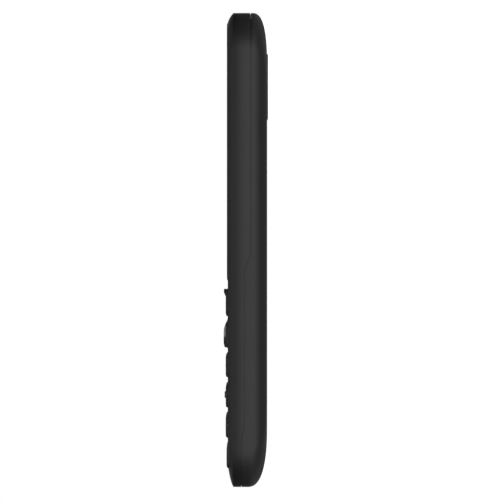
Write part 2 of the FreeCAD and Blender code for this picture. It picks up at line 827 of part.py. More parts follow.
# Key caps: a flange under the face and a cap standing through it
def key_cap(label, x, y, width, length, proud):
    body = new_body(label)
    pad(body, "flange", [rounded(0, 0, width + key_flange_side * 2, length + key_flange_side * 2,
                                 key_radius + key_flange_side)], flange_z, flange_z + key_flange)
    top = face_z + proud
    pad(body, "cap", [rounded(0, 0, width, length, key_radius)], flange_z + key_flange, top)
    soften(body, "cap_edge", key_edge, at_height(top))
    tie(body, "Placement.Base.x", x)
    tie(body, "Placement.Base.y", y)
    return body


def number_keys():
    rows = key_rows()
    bodies = []
    for name, column, row in NUMBER_KEYS:
        proud = key_proud_last if row == 3 else key_proud
        body = key_cap(name, key_pitch_x * column, rows[row], key_width, key_length, proud)
        if name == "key_5":
            top = face_z + key_proud
            reach = nib_length / 2
            ridge = [(-reach, top - 0.1), (reach, top - 0.1), (reach - 0.25, top + nib_proud),
                     (0.25 - reach, top + nib_proud)]
            pad_across(body, "nib", [polygon(ridge)], 0, nib_width, "XZ_Plane")
        bodies.append(body)
    return bodies


def side_keys():
    return [key_cap(name, side_key_offset * side, -down, side_key_width, side_key_length, key_proud)
            for name, side, down in SIDE_KEYS]


# The dished navigation ring, high at its top and bottom edges
def nav_ring():
    body = new_body("nav_ring")
    tie(body, "Placement.Base.y", nav_y)
    side = key_flange_side
    pad(body, "flange", [rounded(0, 0, nav_width + side * 2, nav_length + side * 2, nav_radius + side),
                         disc(0, 0, nav_centre_radius + nav_centre_gap)], flange_z, flange_z + nav_flange)
    crest = face_z + nav_crest
    pad(body, "ring", [rounded(0, 0, nav_width, nav_length, nav_radius),
                       disc(0, 0, nav_centre_radius + nav_centre_gap)], flange_z + nav_flange, crest)
    half = nav_length / 2
    high = half - nav_crest_top
    low = nav_crest_low - half
    dip = face_z - 0.05
    dish = [(half + 1, crest + 1), (half + 1, crest - 0.2), (half, crest - 0.2), (half - 0.3, crest - 0.02),
            (high, crest - 0.02), (high - 0.7, crest - 0.4), (high - 2.4, face_z + 0.3),
            (high - 5, dip), (size(-0.9), dip), (low + 1.8, face_z + 0.42), (low + 0.8, face_z + 0.8),
            (low - 0.4, crest - 0.02), (low - 1.2, crest), (0.8 - half, crest), (0.25 - half, crest - 0.15),
            (-half, crest - 0.45), (-half - 1, crest - 0.45), (-half - 1, crest + 1)]
    cut_across(body, "dish", [polygon(dish)], 0, nav_width * 2)
    cut(body, "underside", [disc(0, 0, nav_underside_radius)], flange_z - 1, flange_z + nav_underside)
    return body


def nav_rocker():
    body = new_body("nav_rocker")
    tie(body, "Placement.Base.y", nav_y)
    pad(body, "ring", [disc(0, 0, nav_rocker_outer), disc(0, 0, nav_rocker_inner)],
        flange_z, flange_z + nav_rocker_sheet)
    return body


def nav_center_key():
    body = new_body("nav_center_key")
    tie(body, "Placement.Base.y", nav_y)
    pad(body, "flange", [disc(0, 0, nav_centre_radius + key_flange_side)], flange_z,
        flange_z + nav_centre_flange)
    top = face_z - nav_centre_sunk
    pad(body, "cap", [disc(0, 0, nav_centre_radius)], flange_z + nav_centre_flange, top)
    soften(body, "cap_edge", key_edge, at_height(top))
    return body


def mat_outline(shrink):
    high = -side_key_first + side_key_length / 2 + key_flange_side + mat_margin - shrink
    low = -(key_row_first + key_pitch_y * 3) - key_length / 2 - key_flange_side - mat_margin + shrink
    width = key_pitch_x * 2 + key_width + (key_flange_side + mat_margin - shrink) * 2
    return rounded(0, (high + low) / 2, width, high - low, 1.5)


def nav_press_places():
    reach = nav_width / 2 - nav_press_edge
    return [(reach, nav_y), (-reach, nav_y), (size(0), nav_y + reach), (size(0), nav_y - reach)]


def keypad_mat():
    body = new_body("keypad_mat")
    holes = [disc(x, y, boss_radius + boss_gap) for x, y in low_screw_places()]
    pad(body, "web", [mat_outline(size(0))] + holes, mat_z, flange_z)
    pad(body, "rim", [mat_outline(size(0)), mat_outline(mat_rim)], board_top + dome_film, mat_z)
    places = key_places() + [(size(0), nav_y)]
    nubs = [disc(x, y, mat_nub_radius) for x, y in places]
    nubs += [disc(x, y, mat_nub_radius * 0.6) for x, y in nav_press_places()]
    pad(body, "nubs", nubs, nub_z, mat_z)
    return body


def dome_sheet():
    body = new_body("dome_sheet")
    holes = [disc(x, y, boss_radius + boss_gap) for x, y in low_screw_places()]
    holes += [rectangle(x, y, led_length + 0.6, led_width + 0.6) for x, y in light_places()]
    pad(body, "film", [mat_outline(size(0))] + holes, board_top, board_top + dome_film)
    places = key_places() + [(size(0), nav_y)]
    domes = [disc(x, y, dome_radius) for x, y in places]
    domes += [disc(x, y, dome_radius * 0.6) for x, y in nav_press_places()]
    pad(body, "domes", domes, board_top + dome_film, board_top + dome_height)
    return body


def keypad_leds():
    body = new_body("keypad_leds")
    pad(body, "lights", [rectangle(x, y, led_length, led_width) for x, y in light_places()],
        board_top, board_top + led_height)
    return body


def main_board():
    body = new_body("main_board")
    edge = wall_side + board_edge
    high = top_y - board_end_high
    low = low_y + board_end_low
    pad(body, "board", [rounded(0, (high + low) / 2, body_width - edge * 2, high - low, corner_radius - 2.5)],
        board_low, board_top)
    cut(body, "boss_holes", [disc(x, y, boss_radius + boss_gap) for x, y in screw_places()],
        board_low - 1, board_top + 1)
    end = top_y + 1
    cut(body, "socket_notches",
        [rectangle(-jack_x, (jack_room_low + end) / 2, jack_width + notch_gap * 2, end - jack_room_low),
         rectangle(usb_x, (usb_room_low + end) / 2, usb_width + notch_gap * 2, end - usb_room_low)],
        board_low - 1, board_top + 1)
    return body


def can(label, x, width):
    body = new_body(label)
    low = board_low - shield_height
    pad(body, "lid", [rounded(x, shield_row, width, shield_length, 0.6)], low, low + shield_sheet)
    pad(body, "walls", [rounded(x, shield_row, width, shield_length, 0.6),
                        rectangle(x, shield_row, width - shield_sheet * 2, shield_length - shield_sheet * 2)],
        low + shield_sheet, board_low)
    holes = []
    for i in (-1, 1):
        for j in (-1, 0, 1):
            holes.append(disc(x + width * (i * 0.36), shield_row + shield_length * (j * 0.36), 0.4))
    cut(body, "vents", holes, low - 1, low + shield_sheet)
    return body


def board_components():
    body = new_body("board_components")
    low = board_low - chip_height
    chips = [rectangle(-shield_wide_x, shield_row + 2.4, 9, 9),
             rectangle(-shield_wide_x, shield_row - 5, 8, 3.6),
             rectangle(shield_narrow_x, shield_row + 2, 6, 6),
             rectangle(shield_narrow_x, shield_row - 4.6, 7, 3)]
    pad(body, "chips", chips, low, board_low)
    return body


# SIM and memory sockets: low metal cans, open for the card along their lower end
def card_socket(label, x, y, width, length):
    body = new_body(label)
    low = board_low - sim_height
    pad(body, "can", [rectangle(x, y, width, length)], low, board_low)
    end = y - length / 2
    high = y + length / 2 - 1.2
    cut(body, "card_way", [rectangle(x, (end - 1 + high) / 2, width - 1, high - end + 1)],
        low + sim_wall, low + sim_wall + 0.8)
    cut(body, "window", [rectangle(x, end + length * 0.3, width - 4, length * 0.6 + 1)],
        low - 1, low + sim_wall)
    return body


def battery():
    body = new_body("battery")
    low = chassis_low
    pad(body, "pack", [rounded(0, -battery_down, battery_width, battery_length, 1.2)],
        low, low + battery_thickness)
    soften(body, "pack_edge", 0.6, at_height(low))
    return body


def battery_connector():
    body = new_body("battery_connector")
    pad(body, "block", [rectangle(contact_x, contact_y, contact_width, contact_length)],
        chassis_low + 1.2, board_low)
    face = contact_y - contact_length / 2
    springs = [rectangle(contact_x + 2.2 * i, face - 0.05, 0.8, 0.3) for i in (-1, 0, 1)]
    pad(body, "springs", springs, chassis_low + 1.8, chassis_low + 3.2)
    return body


# Rear chassis: the frame under the cover that holds battery, camera, speaker and motor
def rear_chassis():
    body = new_body("rear_chassis")
    form(body, "chassis_form", "AdditiveLoft", chassis_inset, chassis_low, face_z)
    cut(body, "above_chassis", [rectangle(0, 0, body_width * 2, body_length * 2)], chassis_top, face_z + 5)
    bay_high = chassis_low + battery_thickness + 0.1
    cut(body, "battery_bay",
        [rounded(0, -battery_down, battery_width + battery_gap * 2, battery_length + battery_gap * 2, 1.4)],
        chassis_low - 1, bay_high)
    cut(body, "contact_way", [rectangle(contact_x, contact_y, contact_width + room_gap * 2,
                                      contact_length + room_gap * 3)],
        chassis_low - 1, chassis_top + 1)
    sim_left = -sim_a_x - sim_width / 2 - card_gap
    sim_right = memory_x + memory_width / 2 + card_gap
    cut(body, "card_bay", [rectangle((sim_left + sim_right) / 2, sim_row, sim_right - sim_left,
                                   sim_length + card_gap * 2)],
        chassis_low - 1, chassis_top + 1)
    shelf = board_low - shield_height - board_gap
    room = sim_row + sim_length / 2 + card_gap + chassis_web
    room_high = shield_row + shield_length / 2 + room_gap * 2
    wide = chassis_inner_x * 2
    cut(body, "shield_room", [rectangle(0, (room + room_high) / 2, wide, room_high - room)],
        shelf, chassis_top + 1)
    under = shelf - chassis_web
    upper_end = screw_top_y - boss_radius - 2
    cut(body, "under_room", [rounded(0, (room + upper_end) / 2, wide - 2, upper_end - room, 1.5)],
        chassis_low - 1, under)
    cut(body, "camera_way", [rectangle(0, camera_row, camera_width + room_gap * 2,
                                     camera_width + room_gap * 2)],
        chassis_low - 1, chassis_top + 1)
    cut(body, "flash_way", [disc(flash_x, camera_row, flash_radius + 0.02)], chassis_low - 1, chassis_top + 1)
    end = top_y + 1
    cut(body, "jack_room",
        [rectangle(-jack_x, (jack_room_low + end) / 2, jack_width + notch_gap * 2, end - jack_room_low)],
        jack_z - jack_height / 2 - shelf_gap, chassis_top + 1)
    cut(body, "usb_room",
        [rectangle(usb_x, (usb_room_low + end) / 2, usb_width + notch_gap * 2, end - usb_room_low)],
        usb_z - usb_height / 2 - shelf_gap, chassis_top + 1)
    cut(body, "speaker_room", [rounded(speaker_x, -speaker_row, speaker_width + 0.3, speaker_length + 0.3,
                                       speaker_radius + 0.1)], chassis_low - 1, chassis_top + 1)
    motor_left = -motor_x - motor_length / 2 - room_gap
    motor_right = -motor_x + motor_length / 2 + weight_gap + weight_length + 0.5
    cut(body, "motor_room", [rectangle((motor_left + motor_right) / 2, -motor_row, motor_right - motor_left,
                                       motor_radius * 2 + 0.3)], chassis_low - 1, chassis_top + 1)
    cut(body, "antenna_room", [rectangle(0, -antenna_row, antenna_width + room_gap * 2,
                                       antenna_length + room_gap * 2)],
        chassis_low - 1, chassis_low + antenna_room)
    cut(body, "mic_room", [rectangle(0, -mic_row, mic_width + room_gap * 2, mic_length + room_gap * 2)],
        board_low - mic_height - shelf_gap, chassis_top + 1)
    tabs = [tab_box(side, y, tab_thickness + tab_room + 1, tab_length + tab_room * 2, size(1))
            for side, y, seam in tab_places()]
    cut(body, "tab_ways", tabs, chassis_low - 1, chassis_top + 1)
    seat = chassis_low + screw_seat
    cut(body, "screw_ways", [disc(x, y, screw_radius + screw_gap) for x, y in screw_places()],
        chassis_low - 1, chassis_top + 1)
    cut(body, "screw_seats", [disc(x, y, screw_head_radius + screw_gap) for x, y in screw_places()],
        chassis_low - 1, seat)
    return body


def chassis_screws():
    body = new_body("chassis_screws")
    seat = chassis_low + screw_seat
    pad(body, "heads", [disc(x, y, screw_head_radius) for x, y in screw_places()],
        seat - screw_head_height, seat)
    pad(body, "shanks", [disc(x, y, screw_radius) for x, y in screw_places()], seat, seat + screw_length)
    cut(body, "drives", [rectangle(x, y, 1.5, 0.4) for x, y in screw_places()],
        seat - screw_head_height - 1, seat - screw_head_height + 0.35)
    return body


def audio_jack():
    body = new_body("audio_jack")
    low = jack_z - jack_height / 2
    pad(body, "block", [rectangle(-jack_x, jack_front - jack_length / 2, jack_width, jack_length)],
        low, low + jack_height)
    cut(body, "bore", [disc(-jack_x, jack_z, jack_bore)], -(jack_front + 1), -(jack_front - jack_depth),
        "XZ_Plane")
    return body


def usb_socket():
    body = new_body("usb_socket")
    end = usb_front - usb_length
    pad(body, "shell", [rounded(usb_x, usb_z, usb_width, usb_height, 0.7)],
        -usb_front, -end, "XZ_Plane")
    cut(body, "mouth", [rounded(usb_x, usb_z, usb_width - usb_sheet * 2, usb_height - usb_sheet * 2, 0.4)],
        -(usb_front + 1), -(end + usb_sheet * 2), "XZ_Plane")
    pad(body, "tongue", [rectangle(usb_x, usb_z + 0.15, usb_width - 2.6, 0.6)],
        -(usb_front - 0.8), -(end + usb_sheet), "XZ_Plane")
    return body


def camera_module():
    body = new_body("camera_module")
    low = board_low - camera_height
    pad(body, "case", [rounded(0, camera_row, camera_width, camera_width, 0.5)], low, board_low)
    pad(body, "barrel", [disc(0, camera_row, barrel_radius)], low - barrel_height, low)
    cut(body, "lens_seat", [disc(0, camera_row, barrel_radius * 0.55)],
        low - barrel_height - 1, low - barrel_height + 0.5)
    return body


def flash_led():
    body = new_body("flash_led")
    pad(body, "chip", [rectangle(flash_x, camera_row, flash_led_width, flash_led_width)],
        board_low - flash_led_height, board_low)
    return body


def flash_lens():
    body = new_body("flash_lens")
    pad(body, "light_pipe", [disc(flash_x, camera_row, flash_radius)],
        camera_glass_sunk + 0.1, board_low - flash_led_height)
    return body


def loudspeaker():
    body = new_body("loudspeaker")
    high = board_low - board_gap
    low = high - speaker_height
    pad(body, "case", [rounded(speaker_x, -speaker_row, speaker_width, speaker_length, speaker_radius)],
        low, high)
    cut(body, "cone_ring", [rounded(speaker_x, -speaker_row, speaker_width - 1.6, speaker_length - 1.6, 1.8),
                            rounded(speaker_x, -speaker_row, speaker_width - 4, speaker_length - 4, 0.8)],
        low - 1, low + 0.4)
    return body


def loudspeaker_mesh():
    body = new_body("loudspeaker_mesh")
    low = board_low - board_gap - speaker_height
    pad(body, "sheet", [rounded(speaker_x, -speaker_row, speaker_width - 0.6, speaker_length - 0.6, 2.3)],
        low - speaker_mesh_sheet, low)
    return body


def vibration_motor():
    body = new_body("vibration_motor")
    z = motor_z
    left = -motor_x - motor_length / 2
    right = left + motor_length
    pad(body, "can", [disc(-motor_row, z, motor_radius)], left, right, "YZ_Plane")
    pad(body, "shaft", [disc(-motor_row, z, motor_shaft)], right, right + weight_gap + weight_length, "YZ_Plane")
    return body


# A half-round weight with a bore for the motor's shaft
def eccentric_weight():
    body = new_body("eccentric_weight")
    z = motor_z
    start = -motor_x + motor_length / 2 + weight_gap
    pad(body, "disc", [disc(-motor_row, z, weight_radius)], start, start + weight_length, "YZ_Plane")
    cut_across(body, "half", [rectangle(-motor_row, z + weight_radius / 2 + 0.8, weight_radius * 3, weight_radius)],
               start + weight_length / 2, weight_length * 2)
    cut(body, "shaft_way", [disc(-motor_row, z, motor_shaft + 0.03)], start - 1, start + weight_length + 1,
        "YZ_Plane")
    return body


def microphone():
    body = new_body("microphone")
    low = board_low - mic_height
    pad(body, "case", [rounded(0, -mic_row, mic_width, mic_length, 0.3)], low, board_low)
    return body


def antenna():
    body = new_body("antenna")
    low = chassis_low + antenna_room - antenna_sheet
    pad(body, "plate", [rounded(0, -antenna_row, antenna_width, antenna_length, 0.5)], low, low + antenna_sheet)
    cut(body, "meander", [rectangle(antenna_width * (i / 5), -antenna_row + 0.6 * (-1) ** i, 0.7,
                                    antenna_length - 1.2) for i in (-2, -1, 0, 1, 2)], low - 1, low + 1)
    return body


bodies = [front_housing(), battery_cover(), camera_plate(), camera_window(), display_window(),
          window_gasket(), earpiece_grille(), earpiece_receiver(), display_module(), display_bracket(),
          display_gasket(), display_flex()]
bodies += number_keys()
bodies += side_keys()
bodies += [nav_ring(), nav_rocker(), nav_center_key(), keypad_mat(), dome_sheet(), keypad_leds(),
           main_board(), can("processor_shield", -shield_wide_x, shield_wide),
           can("radio_shield", shield_narrow_x, shield_narrow), board_components(),
           card_socket("sim_socket_a", -sim_a_x, sim_row, sim_width, sim_length),
           card_socket("sim_socket_b", sim_b_x, sim_row, sim_width, sim_length),
           card_socket("memory_card_socket", memory_x, memory_row, memory_width, memory_length),
           battery(), battery_connector(), rear_chassis(), chassis_screws(), audio_jack(), usb_socket(),
           camera_module(), flash_led(), flash_lens(), loudspeaker(), loudspeaker_mesh(),
           vibration_motor(), eccentric_weight(), microphone(), antenna()]
doc.recompute()

faults = []
for item in doc.Objects:
    if "Invalid" in item.State or "Error" in item.State:
        faults.append("%s %s" % (item.Name, item.State))
for body in bodies:
    shape = body.Shape
    if shape.isNull() or not shape.isValid() or shape.Volume <= 0:
        faults.append("%s has no valid solid" % body.Label)
if faults:
    raise RuntimeError("; ".join(faults))
for body in bodies:
    body.Shape.exportStep("parts/%s.step" % body.Label)
print("%d parts written" % len(bodies))
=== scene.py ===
import math

import bmesh
import bpy
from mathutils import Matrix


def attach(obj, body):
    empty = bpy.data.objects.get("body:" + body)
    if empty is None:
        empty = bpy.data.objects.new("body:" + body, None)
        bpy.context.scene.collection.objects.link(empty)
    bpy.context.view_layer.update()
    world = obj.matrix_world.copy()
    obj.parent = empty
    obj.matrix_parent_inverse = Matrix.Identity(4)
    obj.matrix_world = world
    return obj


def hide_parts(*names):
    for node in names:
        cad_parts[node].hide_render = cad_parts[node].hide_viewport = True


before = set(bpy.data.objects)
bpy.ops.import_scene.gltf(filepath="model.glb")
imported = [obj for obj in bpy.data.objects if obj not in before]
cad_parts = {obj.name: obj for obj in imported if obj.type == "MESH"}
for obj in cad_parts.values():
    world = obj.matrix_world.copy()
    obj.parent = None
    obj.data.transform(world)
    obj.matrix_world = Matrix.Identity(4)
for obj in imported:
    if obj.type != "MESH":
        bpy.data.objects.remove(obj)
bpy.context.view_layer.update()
MM = 0.001

# Outer form of the phone, which the two plastic mouldings share. Rounded outlines are
# stacked from the back to the face and drawn in along a rolled curve at both edges,
# with a second, smaller form inside for the room between the walls.
HALF_WIDTH, HALF_LENGTH, BACK_Z, FACE_Z = 26.5, 62.0, 0.24, 10.52
CORNER, WALL, BACK_WALL, FACE_WALL = 10.0, 1.2, 1.0, 1.24
BACK_SHARE, BACK_SIDE_SHARE, BACK_TOP_SHARE, FRONT_ROLL = 0.501, 0.42, 0.39, 1.5
BACK_SIDE_INSET, BACK_TOP_INSET, BACK_BOTTOM_INSET = 4.8, 14.3, 15.4
FRONT_SIDE_INSET, FRONT_TOP_INSET, FRONT_BOTTOM_INSET = 2, 2.4, 6.2
BACK_SIDE_POWER, BACK_TOP_POWER, BACK_BOTTOM_POWER = 2.4, 2.75, 2.48
FRONT_SIDE_POWER, FRONT_TOP_POWER, FRONT_BOTTOM_POWER = 2.2, 1.25, 1.4


def rolled(height, rise, inset, power):
    """How far an edge is drawn in at a height above it, along a curve of the given rise and inset."""
    left = 1 - min(height / rise, 1)
    return inset * (1 - (1 - left ** power) ** (1 / power))


def level_insets(z, low, high, front_share):
    """How far the sides, the top end and the bottom end are drawn in at a height."""
    back = (high - low) * BACK_SHARE
    if z <= low + back:
        h = z - low
        return (rolled(h, (high - low) * BACK_SIDE_SHARE, BACK_SIDE_INSET, BACK_SIDE_POWER),
                rolled(h, (high - low) * BACK_TOP_SHARE, BACK_TOP_INSET, BACK_TOP_POWER),
                rolled(h, back, BACK_BOTTOM_INSET, BACK_BOTTOM_POWER))
    h = high - z
    return (rolled(h, high - low - back, FRONT_SIDE_INSET, FRONT_SIDE_POWER) * front_share,
            rolled(h, FRONT_ROLL, FRONT_TOP_INSET, FRONT_TOP_POWER) * front_share,
            rolled(h, FRONT_ROLL, FRONT_BOTTOM_INSET, FRONT_BOTTOM_POWER) * front_share)


def level_heights(low, high):
    """The heights of the levels, closest together where the form curves most."""
    back = (high - low) * BACK_SHARE
    heights = [low + back * (i / 26) ** 2.2 for i in range(27)]
    side = high - FRONT_ROLL - low - back
    heights += [low + back + side * i / 7 for i in range(1, 7)]
    heights += [high - FRONT_ROLL * (i / 22) ** 1.8 for i in range(22, -1, -1)]
    return heights


def open_mesh(obj):
    bpy.ops.object.select_all(action="DESELECT")
    obj.select_set(True)
    bpy.context.view_layer.objects.active = obj
    bpy.ops.object.mode_set(mode="EDIT")


def close_mesh():
    bpy.ops.object.mode_set(mode="OBJECT")


def push(obj, rule, x=0, y=0, z=0):
    """Moves the selected corners that the rule picks, and selects the same corners again."""
    mesh = bmesh.from_edit_mesh(obj.data)
    loop = [v for v in mesh.verts if v.select]
    for v in loop:
        v.select_set(rule(v.co))
    mesh.select_flush_mode()
    bmesh.update_edit_mesh(obj.data)
    bpy.ops.transform.translate(value=(x * MM, y * MM, z * MM))
    mesh = bmesh.from_edit_mesh(obj.data)
    for v in mesh.verts:
        v.select_set(False)
    mesh.verts.ensure_lookup_table()
    for v in loop:
        v.select_set(True)
    mesh.select_flush_mode()
    bmesh.update_edit_mesh(obj.data)


def outline(name, x, y, width, length, radius, z, segments=12):
    """A flat rounded outline, left open in edit mode with its face selected."""
    bpy.ops.object.select_all(action="DESELECT")
    bpy.ops.mesh.primitive_plane_add(size=1, location=(x * MM, y * MM, z * MM))
    obj = bpy.context.object
    obj.name = name
    obj.data.name = name
    obj.scale = (width * MM, length * MM, 1)
    bpy.ops.object.transform_apply(location=True, rotation=True, scale=True)
    open_mesh(obj)
    bpy.ops.mesh.select_all(action="SELECT")
    if radius > 0:
        bpy.ops.mesh.bevel(offset=radius * MM, offset_type="OFFSET", segments=segments, affect="VERTICES")
        bpy.ops.mesh.select_all(action="SELECT")
    return obj


def grow(z):
    """Extrudes the selected faces upwards."""
    bpy.ops.mesh.extrude_region_move(TRANSFORM_OT_translate={"value": (0, 0, z * MM)})


def turn_out():
    bpy.ops.mesh.select_all(action="SELECT")
    bpy.ops.mesh.normals_make_consistent(inside=False)


def stack(name, inset, low, high, front_share):
    """The outline grown level by level, each level drawn in from the one below."""
    heights = level_heights(low, high)
    side, top, bottom = level_insets(heights[0], low, high, front_share)
    upper, lower = HALF_LENGTH - inset - top, -HALF_LENGTH + inset + bottom
    obj = outline(name, 0, (upper + lower) / 2, 2 * (HALF_WIDTH - inset - side), upper - lower,
                  CORNER - inset, heights[0], 14)
    middle = (upper + lower) / 2 * MM
    for before, z in zip(heights, heights[1:]):
        new_side, new_top, new_bottom = level_insets(z, low, high, front_share)
        grow(z - before)
        push(obj, lambda co: co.x > 0, x=side - new_side)
        push(obj, lambda co: co.x < 0, x=new_side - side)
        push(obj, lambda co: co.y > middle, y=top - new_top)
        push(obj, lambda co: co.y < middle, y=new_bottom - bottom)
        side, top, bottom = new_side, new_top, new_bottom
    bpy.ops.mesh.inset(thickness=0.15 * MM)
    turn_out()
    close_mesh()
    return obj


phone_form = stack("phone_form", 0, BACK_Z, FACE_Z, 1)
phone_room = stack("phone_room", WALL, BACK_Z + BACK_WALL, FACE_Z - FACE_WALL, 0.25)


# Seam between the two halves: straight along the upper body, an S step below the
# display and a second, low step near the bottom end. A block whose top follows the
# line parts the form, so that both halves meet along it with an even gap.
SEAM_Z, SEAM_STEP, SEAM_LOW_STEP, SEAM_GAP = 4.59, 1.57, 0.79, 0.24
STEP_Y, LOW_STEP_Y, STEP_LENGTH, STEP_PARTS = -0.65, -45, 5, 12


def ease(share):
    share = min(max(share, 0), 1)
    return 0.5 - 0.5 * math.cos(math.pi * share)


def seam_height(y):
    low_step = SEAM_LOW_STEP * ease((LOW_STEP_Y - y) / STEP_LENGTH)
    return SEAM_Z + SEAM_STEP * ease((STEP_Y - y) / STEP_LENGTH) + low_step


def seam_block(name, shift):
    """A block from below the phone up to the seam line, moved up or down by the shift."""
    bpy.ops.object.select_all(action="DESELECT")
    bpy.ops.mesh.primitive_cube_add(size=1, location=(0, 0, -3 * MM))
    obj = bpy.context.object
    obj.name = name
    obj.scale = (80 * MM, 140 * MM, 10 * MM)
    bpy.ops.object.transform_apply(location=True, rotation=True, scale=True)
    stations = [start - STEP_LENGTH * i / STEP_PARTS for start in (STEP_Y, LOW_STEP_Y)
                for i in range(STEP_PARTS + 1)]
    open_mesh(obj)
    for y in stations:
        bpy.ops.mesh.select_all(action="SELECT")
        bpy.ops.mesh.bisect(plane_co=(0, y * MM, 0), plane_no=(0, 1, 0))
    for y in [70, -70] + stations:
        bpy.ops.mesh.select_all(action="SELECT")
        tight = 1 - 0.6 * ease((STEP_Y - y) / STEP_LENGTH)
        push(obj, lambda co: co.z > 0 and abs(co.y - y * MM) < 1e-6, z=seam_height(y) + shift * tight - 2)
    turn_out()
    close_mesh()
    return obj


# Front housing: black satin plastic, moulded in one piece with the keypad's frame,
# a recess for the display window and the end walls with the jack, the connector and
# the microphone hole.
KEY_WIDTH, KEY_LENGTH, KEY_RADIUS, KEY_GAP = 13.4, 6.1, 1.6, 0.15
COLUMN_PITCH, ROW_PITCH, FIRST_ROW_Y = 15.2, 7.9, -30.2
SIDE_KEY_WIDTH, SIDE_KEY_LENGTH = 12.6, 6.9
NAV_Y, NAV_WIDTH, NAV_LENGTH, NAV_RADIUS = -17.9, 15.6, 15.4, 3.4
NUMBER_KEYS = {}
for row, names in enumerate((("1", "2", "3"), ("4", "5", "6"), ("7", "8", "9"), ("star", "0", "hash"))):
    for column, word in enumerate(names):
        NUMBER_KEYS["key_" + word] = (COLUMN_PITCH * (column - 1), FIRST_ROW_Y - ROW_PITCH * row)
SIDE_KEYS = {"soft_key_left": (-15.6, -13.85), "soft_key_right": (15.6, -13.85),
             "call_key": (-15.6, -22.15), "end_key": (15.6, -22.15)}
WINDOW_Y, WINDOW_WIDTH, WINDOW_LENGTH, WINDOW_RADIUS = 25.7, 46.8, 67.4, 8.0
WINDOW_TOP = FACE_Z + 0.24
WINDOW_LOW = WINDOW_TOP - 0.85
EAR_Y, DISPLAY_Y, LEDGE_Z = 53.2, 20.1, WINDOW_LOW - 0.1
JACK_X, JACK_Z, JACK_RADIUS = -12, 7.18, 1.8
SOCKET_X, SOCKET_Z, MIC_Z, END_WALL_Y = 10, 7.13, 8.13, 61.4
LIP_INSET = 0.3
ROOM_Z, ABOVE_Z = 7, 14


def copy_of(obj, name):
    twin = obj.copy()
    twin.data = obj.data.copy()
    twin.name = name
    twin.data.name = name
    bpy.context.scene.collection.objects.link(twin)
    return twin


def settle(obj, modifier, **settings):
    """Adds a modifier with its settings and applies it."""
    bpy.ops.object.select_all(action="DESELECT")
    obj.select_set(True)
    bpy.context.view_layer.objects.active = obj
    made = obj.modifiers.new(modifier, modifier)
    for key, value in settings.items():
        setattr(made, key, value)
    bpy.ops.object.modifier_apply(modifier=made.name)


def carve(obj, cutter, operation="DIFFERENCE"):
    settle(obj, "BOOLEAN", operation=operation, object=cutter, solver="EXACT")
    bpy.data.objects.remove(cutter)


front_housing = copy_of(phone_form, "front_housing_shell")
carve(front_housing, copy_of(phone_room, "room_cutter"))
rim_cutter = seam_block("seam_cutter", SEAM_GAP / 2)
carve(rim_cutter, stack("lip_form", LIP_INSET, BACK_Z, FACE_Z, 1))
carve(front_housing, rim_cutter)
carve(front_housing, seam_block("seam_cutter", -SEAM_GAP / 2 + 0.02))


def block(name, x, y, width, length, radius, low, high, segments=6):
    obj = outline(name, x, y, width, length, radius, low, segments)
    grow(high - low)
    turn_out()
    close_mesh()
    return obj


def join(objs):
    bpy.ops.object.select_all(action="DESELECT")
    for obj in objs:
        obj.select_set(True)
    bpy.context.view_layer.objects.active = objs[0]
    if len(objs) > 1:
        bpy.ops.object.join()
    return objs[0]


carve(front_housing, block("window_cutter", 0, WINDOW_Y, WINDOW_WIDTH + 0.2, WINDOW_LENGTH + 0.2,
                           WINDOW_RADIUS + 0.1, LEDGE_Z, ABOVE_Z, 10))
openings = [block("view_cutter", 0, DISPLAY_Y, 38, 50.4, 1, ROOM_Z, ABOVE_Z, 4),
            block("ear_cutter", 0, EAR_Y, 8, 1, 0.45, ROOM_Z, ABOVE_Z, 4),
            block("nav_cutter", 0, NAV_Y, NAV_WIDTH + 2 * KEY_GAP, NAV_LENGTH + 2 * KEY_GAP,
                  NAV_RADIUS + KEY_GAP, ROOM_Z, ABOVE_Z, 8)]
for x, y in NUMBER_KEYS.values():
    openings.append(block("key_cutter", x, y, KEY_WIDTH + 2 * KEY_GAP, KEY_LENGTH + 2 * KEY_GAP,
                          KEY_RADIUS + KEY_GAP, ROOM_Z, ABOVE_Z))
for x, y in SIDE_KEYS.values():
    openings.append(block("key_cutter", x, y, SIDE_KEY_WIDTH + 2 * KEY_GAP, SIDE_KEY_LENGTH + 2 * KEY_GAP,
                          KEY_RADIUS + KEY_GAP, ROOM_Z, ABOVE_Z))
carve(front_housing, join(openings))


def disc(name, x, y, radius, low, high, segments=64):
    """A round block, from a filled circle."""
    bpy.ops.object.select_all(action="DESELECT")
    bpy.ops.mesh.primitive_circle_add(vertices=segments, radius=radius * MM, fill_type="NGON",
                                      location=(x * MM, y * MM, low * MM))
    obj = bpy.context.object
    obj.name = name
    obj.data.name = name
    bpy.ops.object.transform_apply(location=True, rotation=True, scale=True)
    open_mesh(obj)
    bpy.ops.mesh.select_all(action="SELECT")
    grow(high - low)
    turn_out()
    close_mesh()
    return obj


def stand_up(obj, x, y, z):
    """Turns a block made round the origin so that its height runs along the phone, and puts it in place."""
    obj.rotation_euler = (math.radians(90), 0, 0)
    obj.location = (x * MM, y * MM, z * MM)
    bpy.ops.object.select_all(action="DESELECT")
    obj.select_set(True)
    bpy.context.view_layer.objects.active = obj
    bpy.ops.object.transform_apply(location=True, rotation=True, scale=True)
    return obj


end_holes = [stand_up(disc("jack_cutter", 0, 0, JACK_RADIUS, -2, 2, 48), JACK_X, END_WALL_Y, JACK_Z),
             stand_up(block("usb_cutter", 0, 0, 8.6, 3.6, 1.2, -2, 2, 8), SOCKET_X, END_WALL_Y, SOCKET_Z),
             stand_up(disc("mic_cutter", 0, 0, 0.5, -2, 2, 24), 0, -END_WALL_Y, MIC_Z)]
carve(front_housing, join(end_holes))


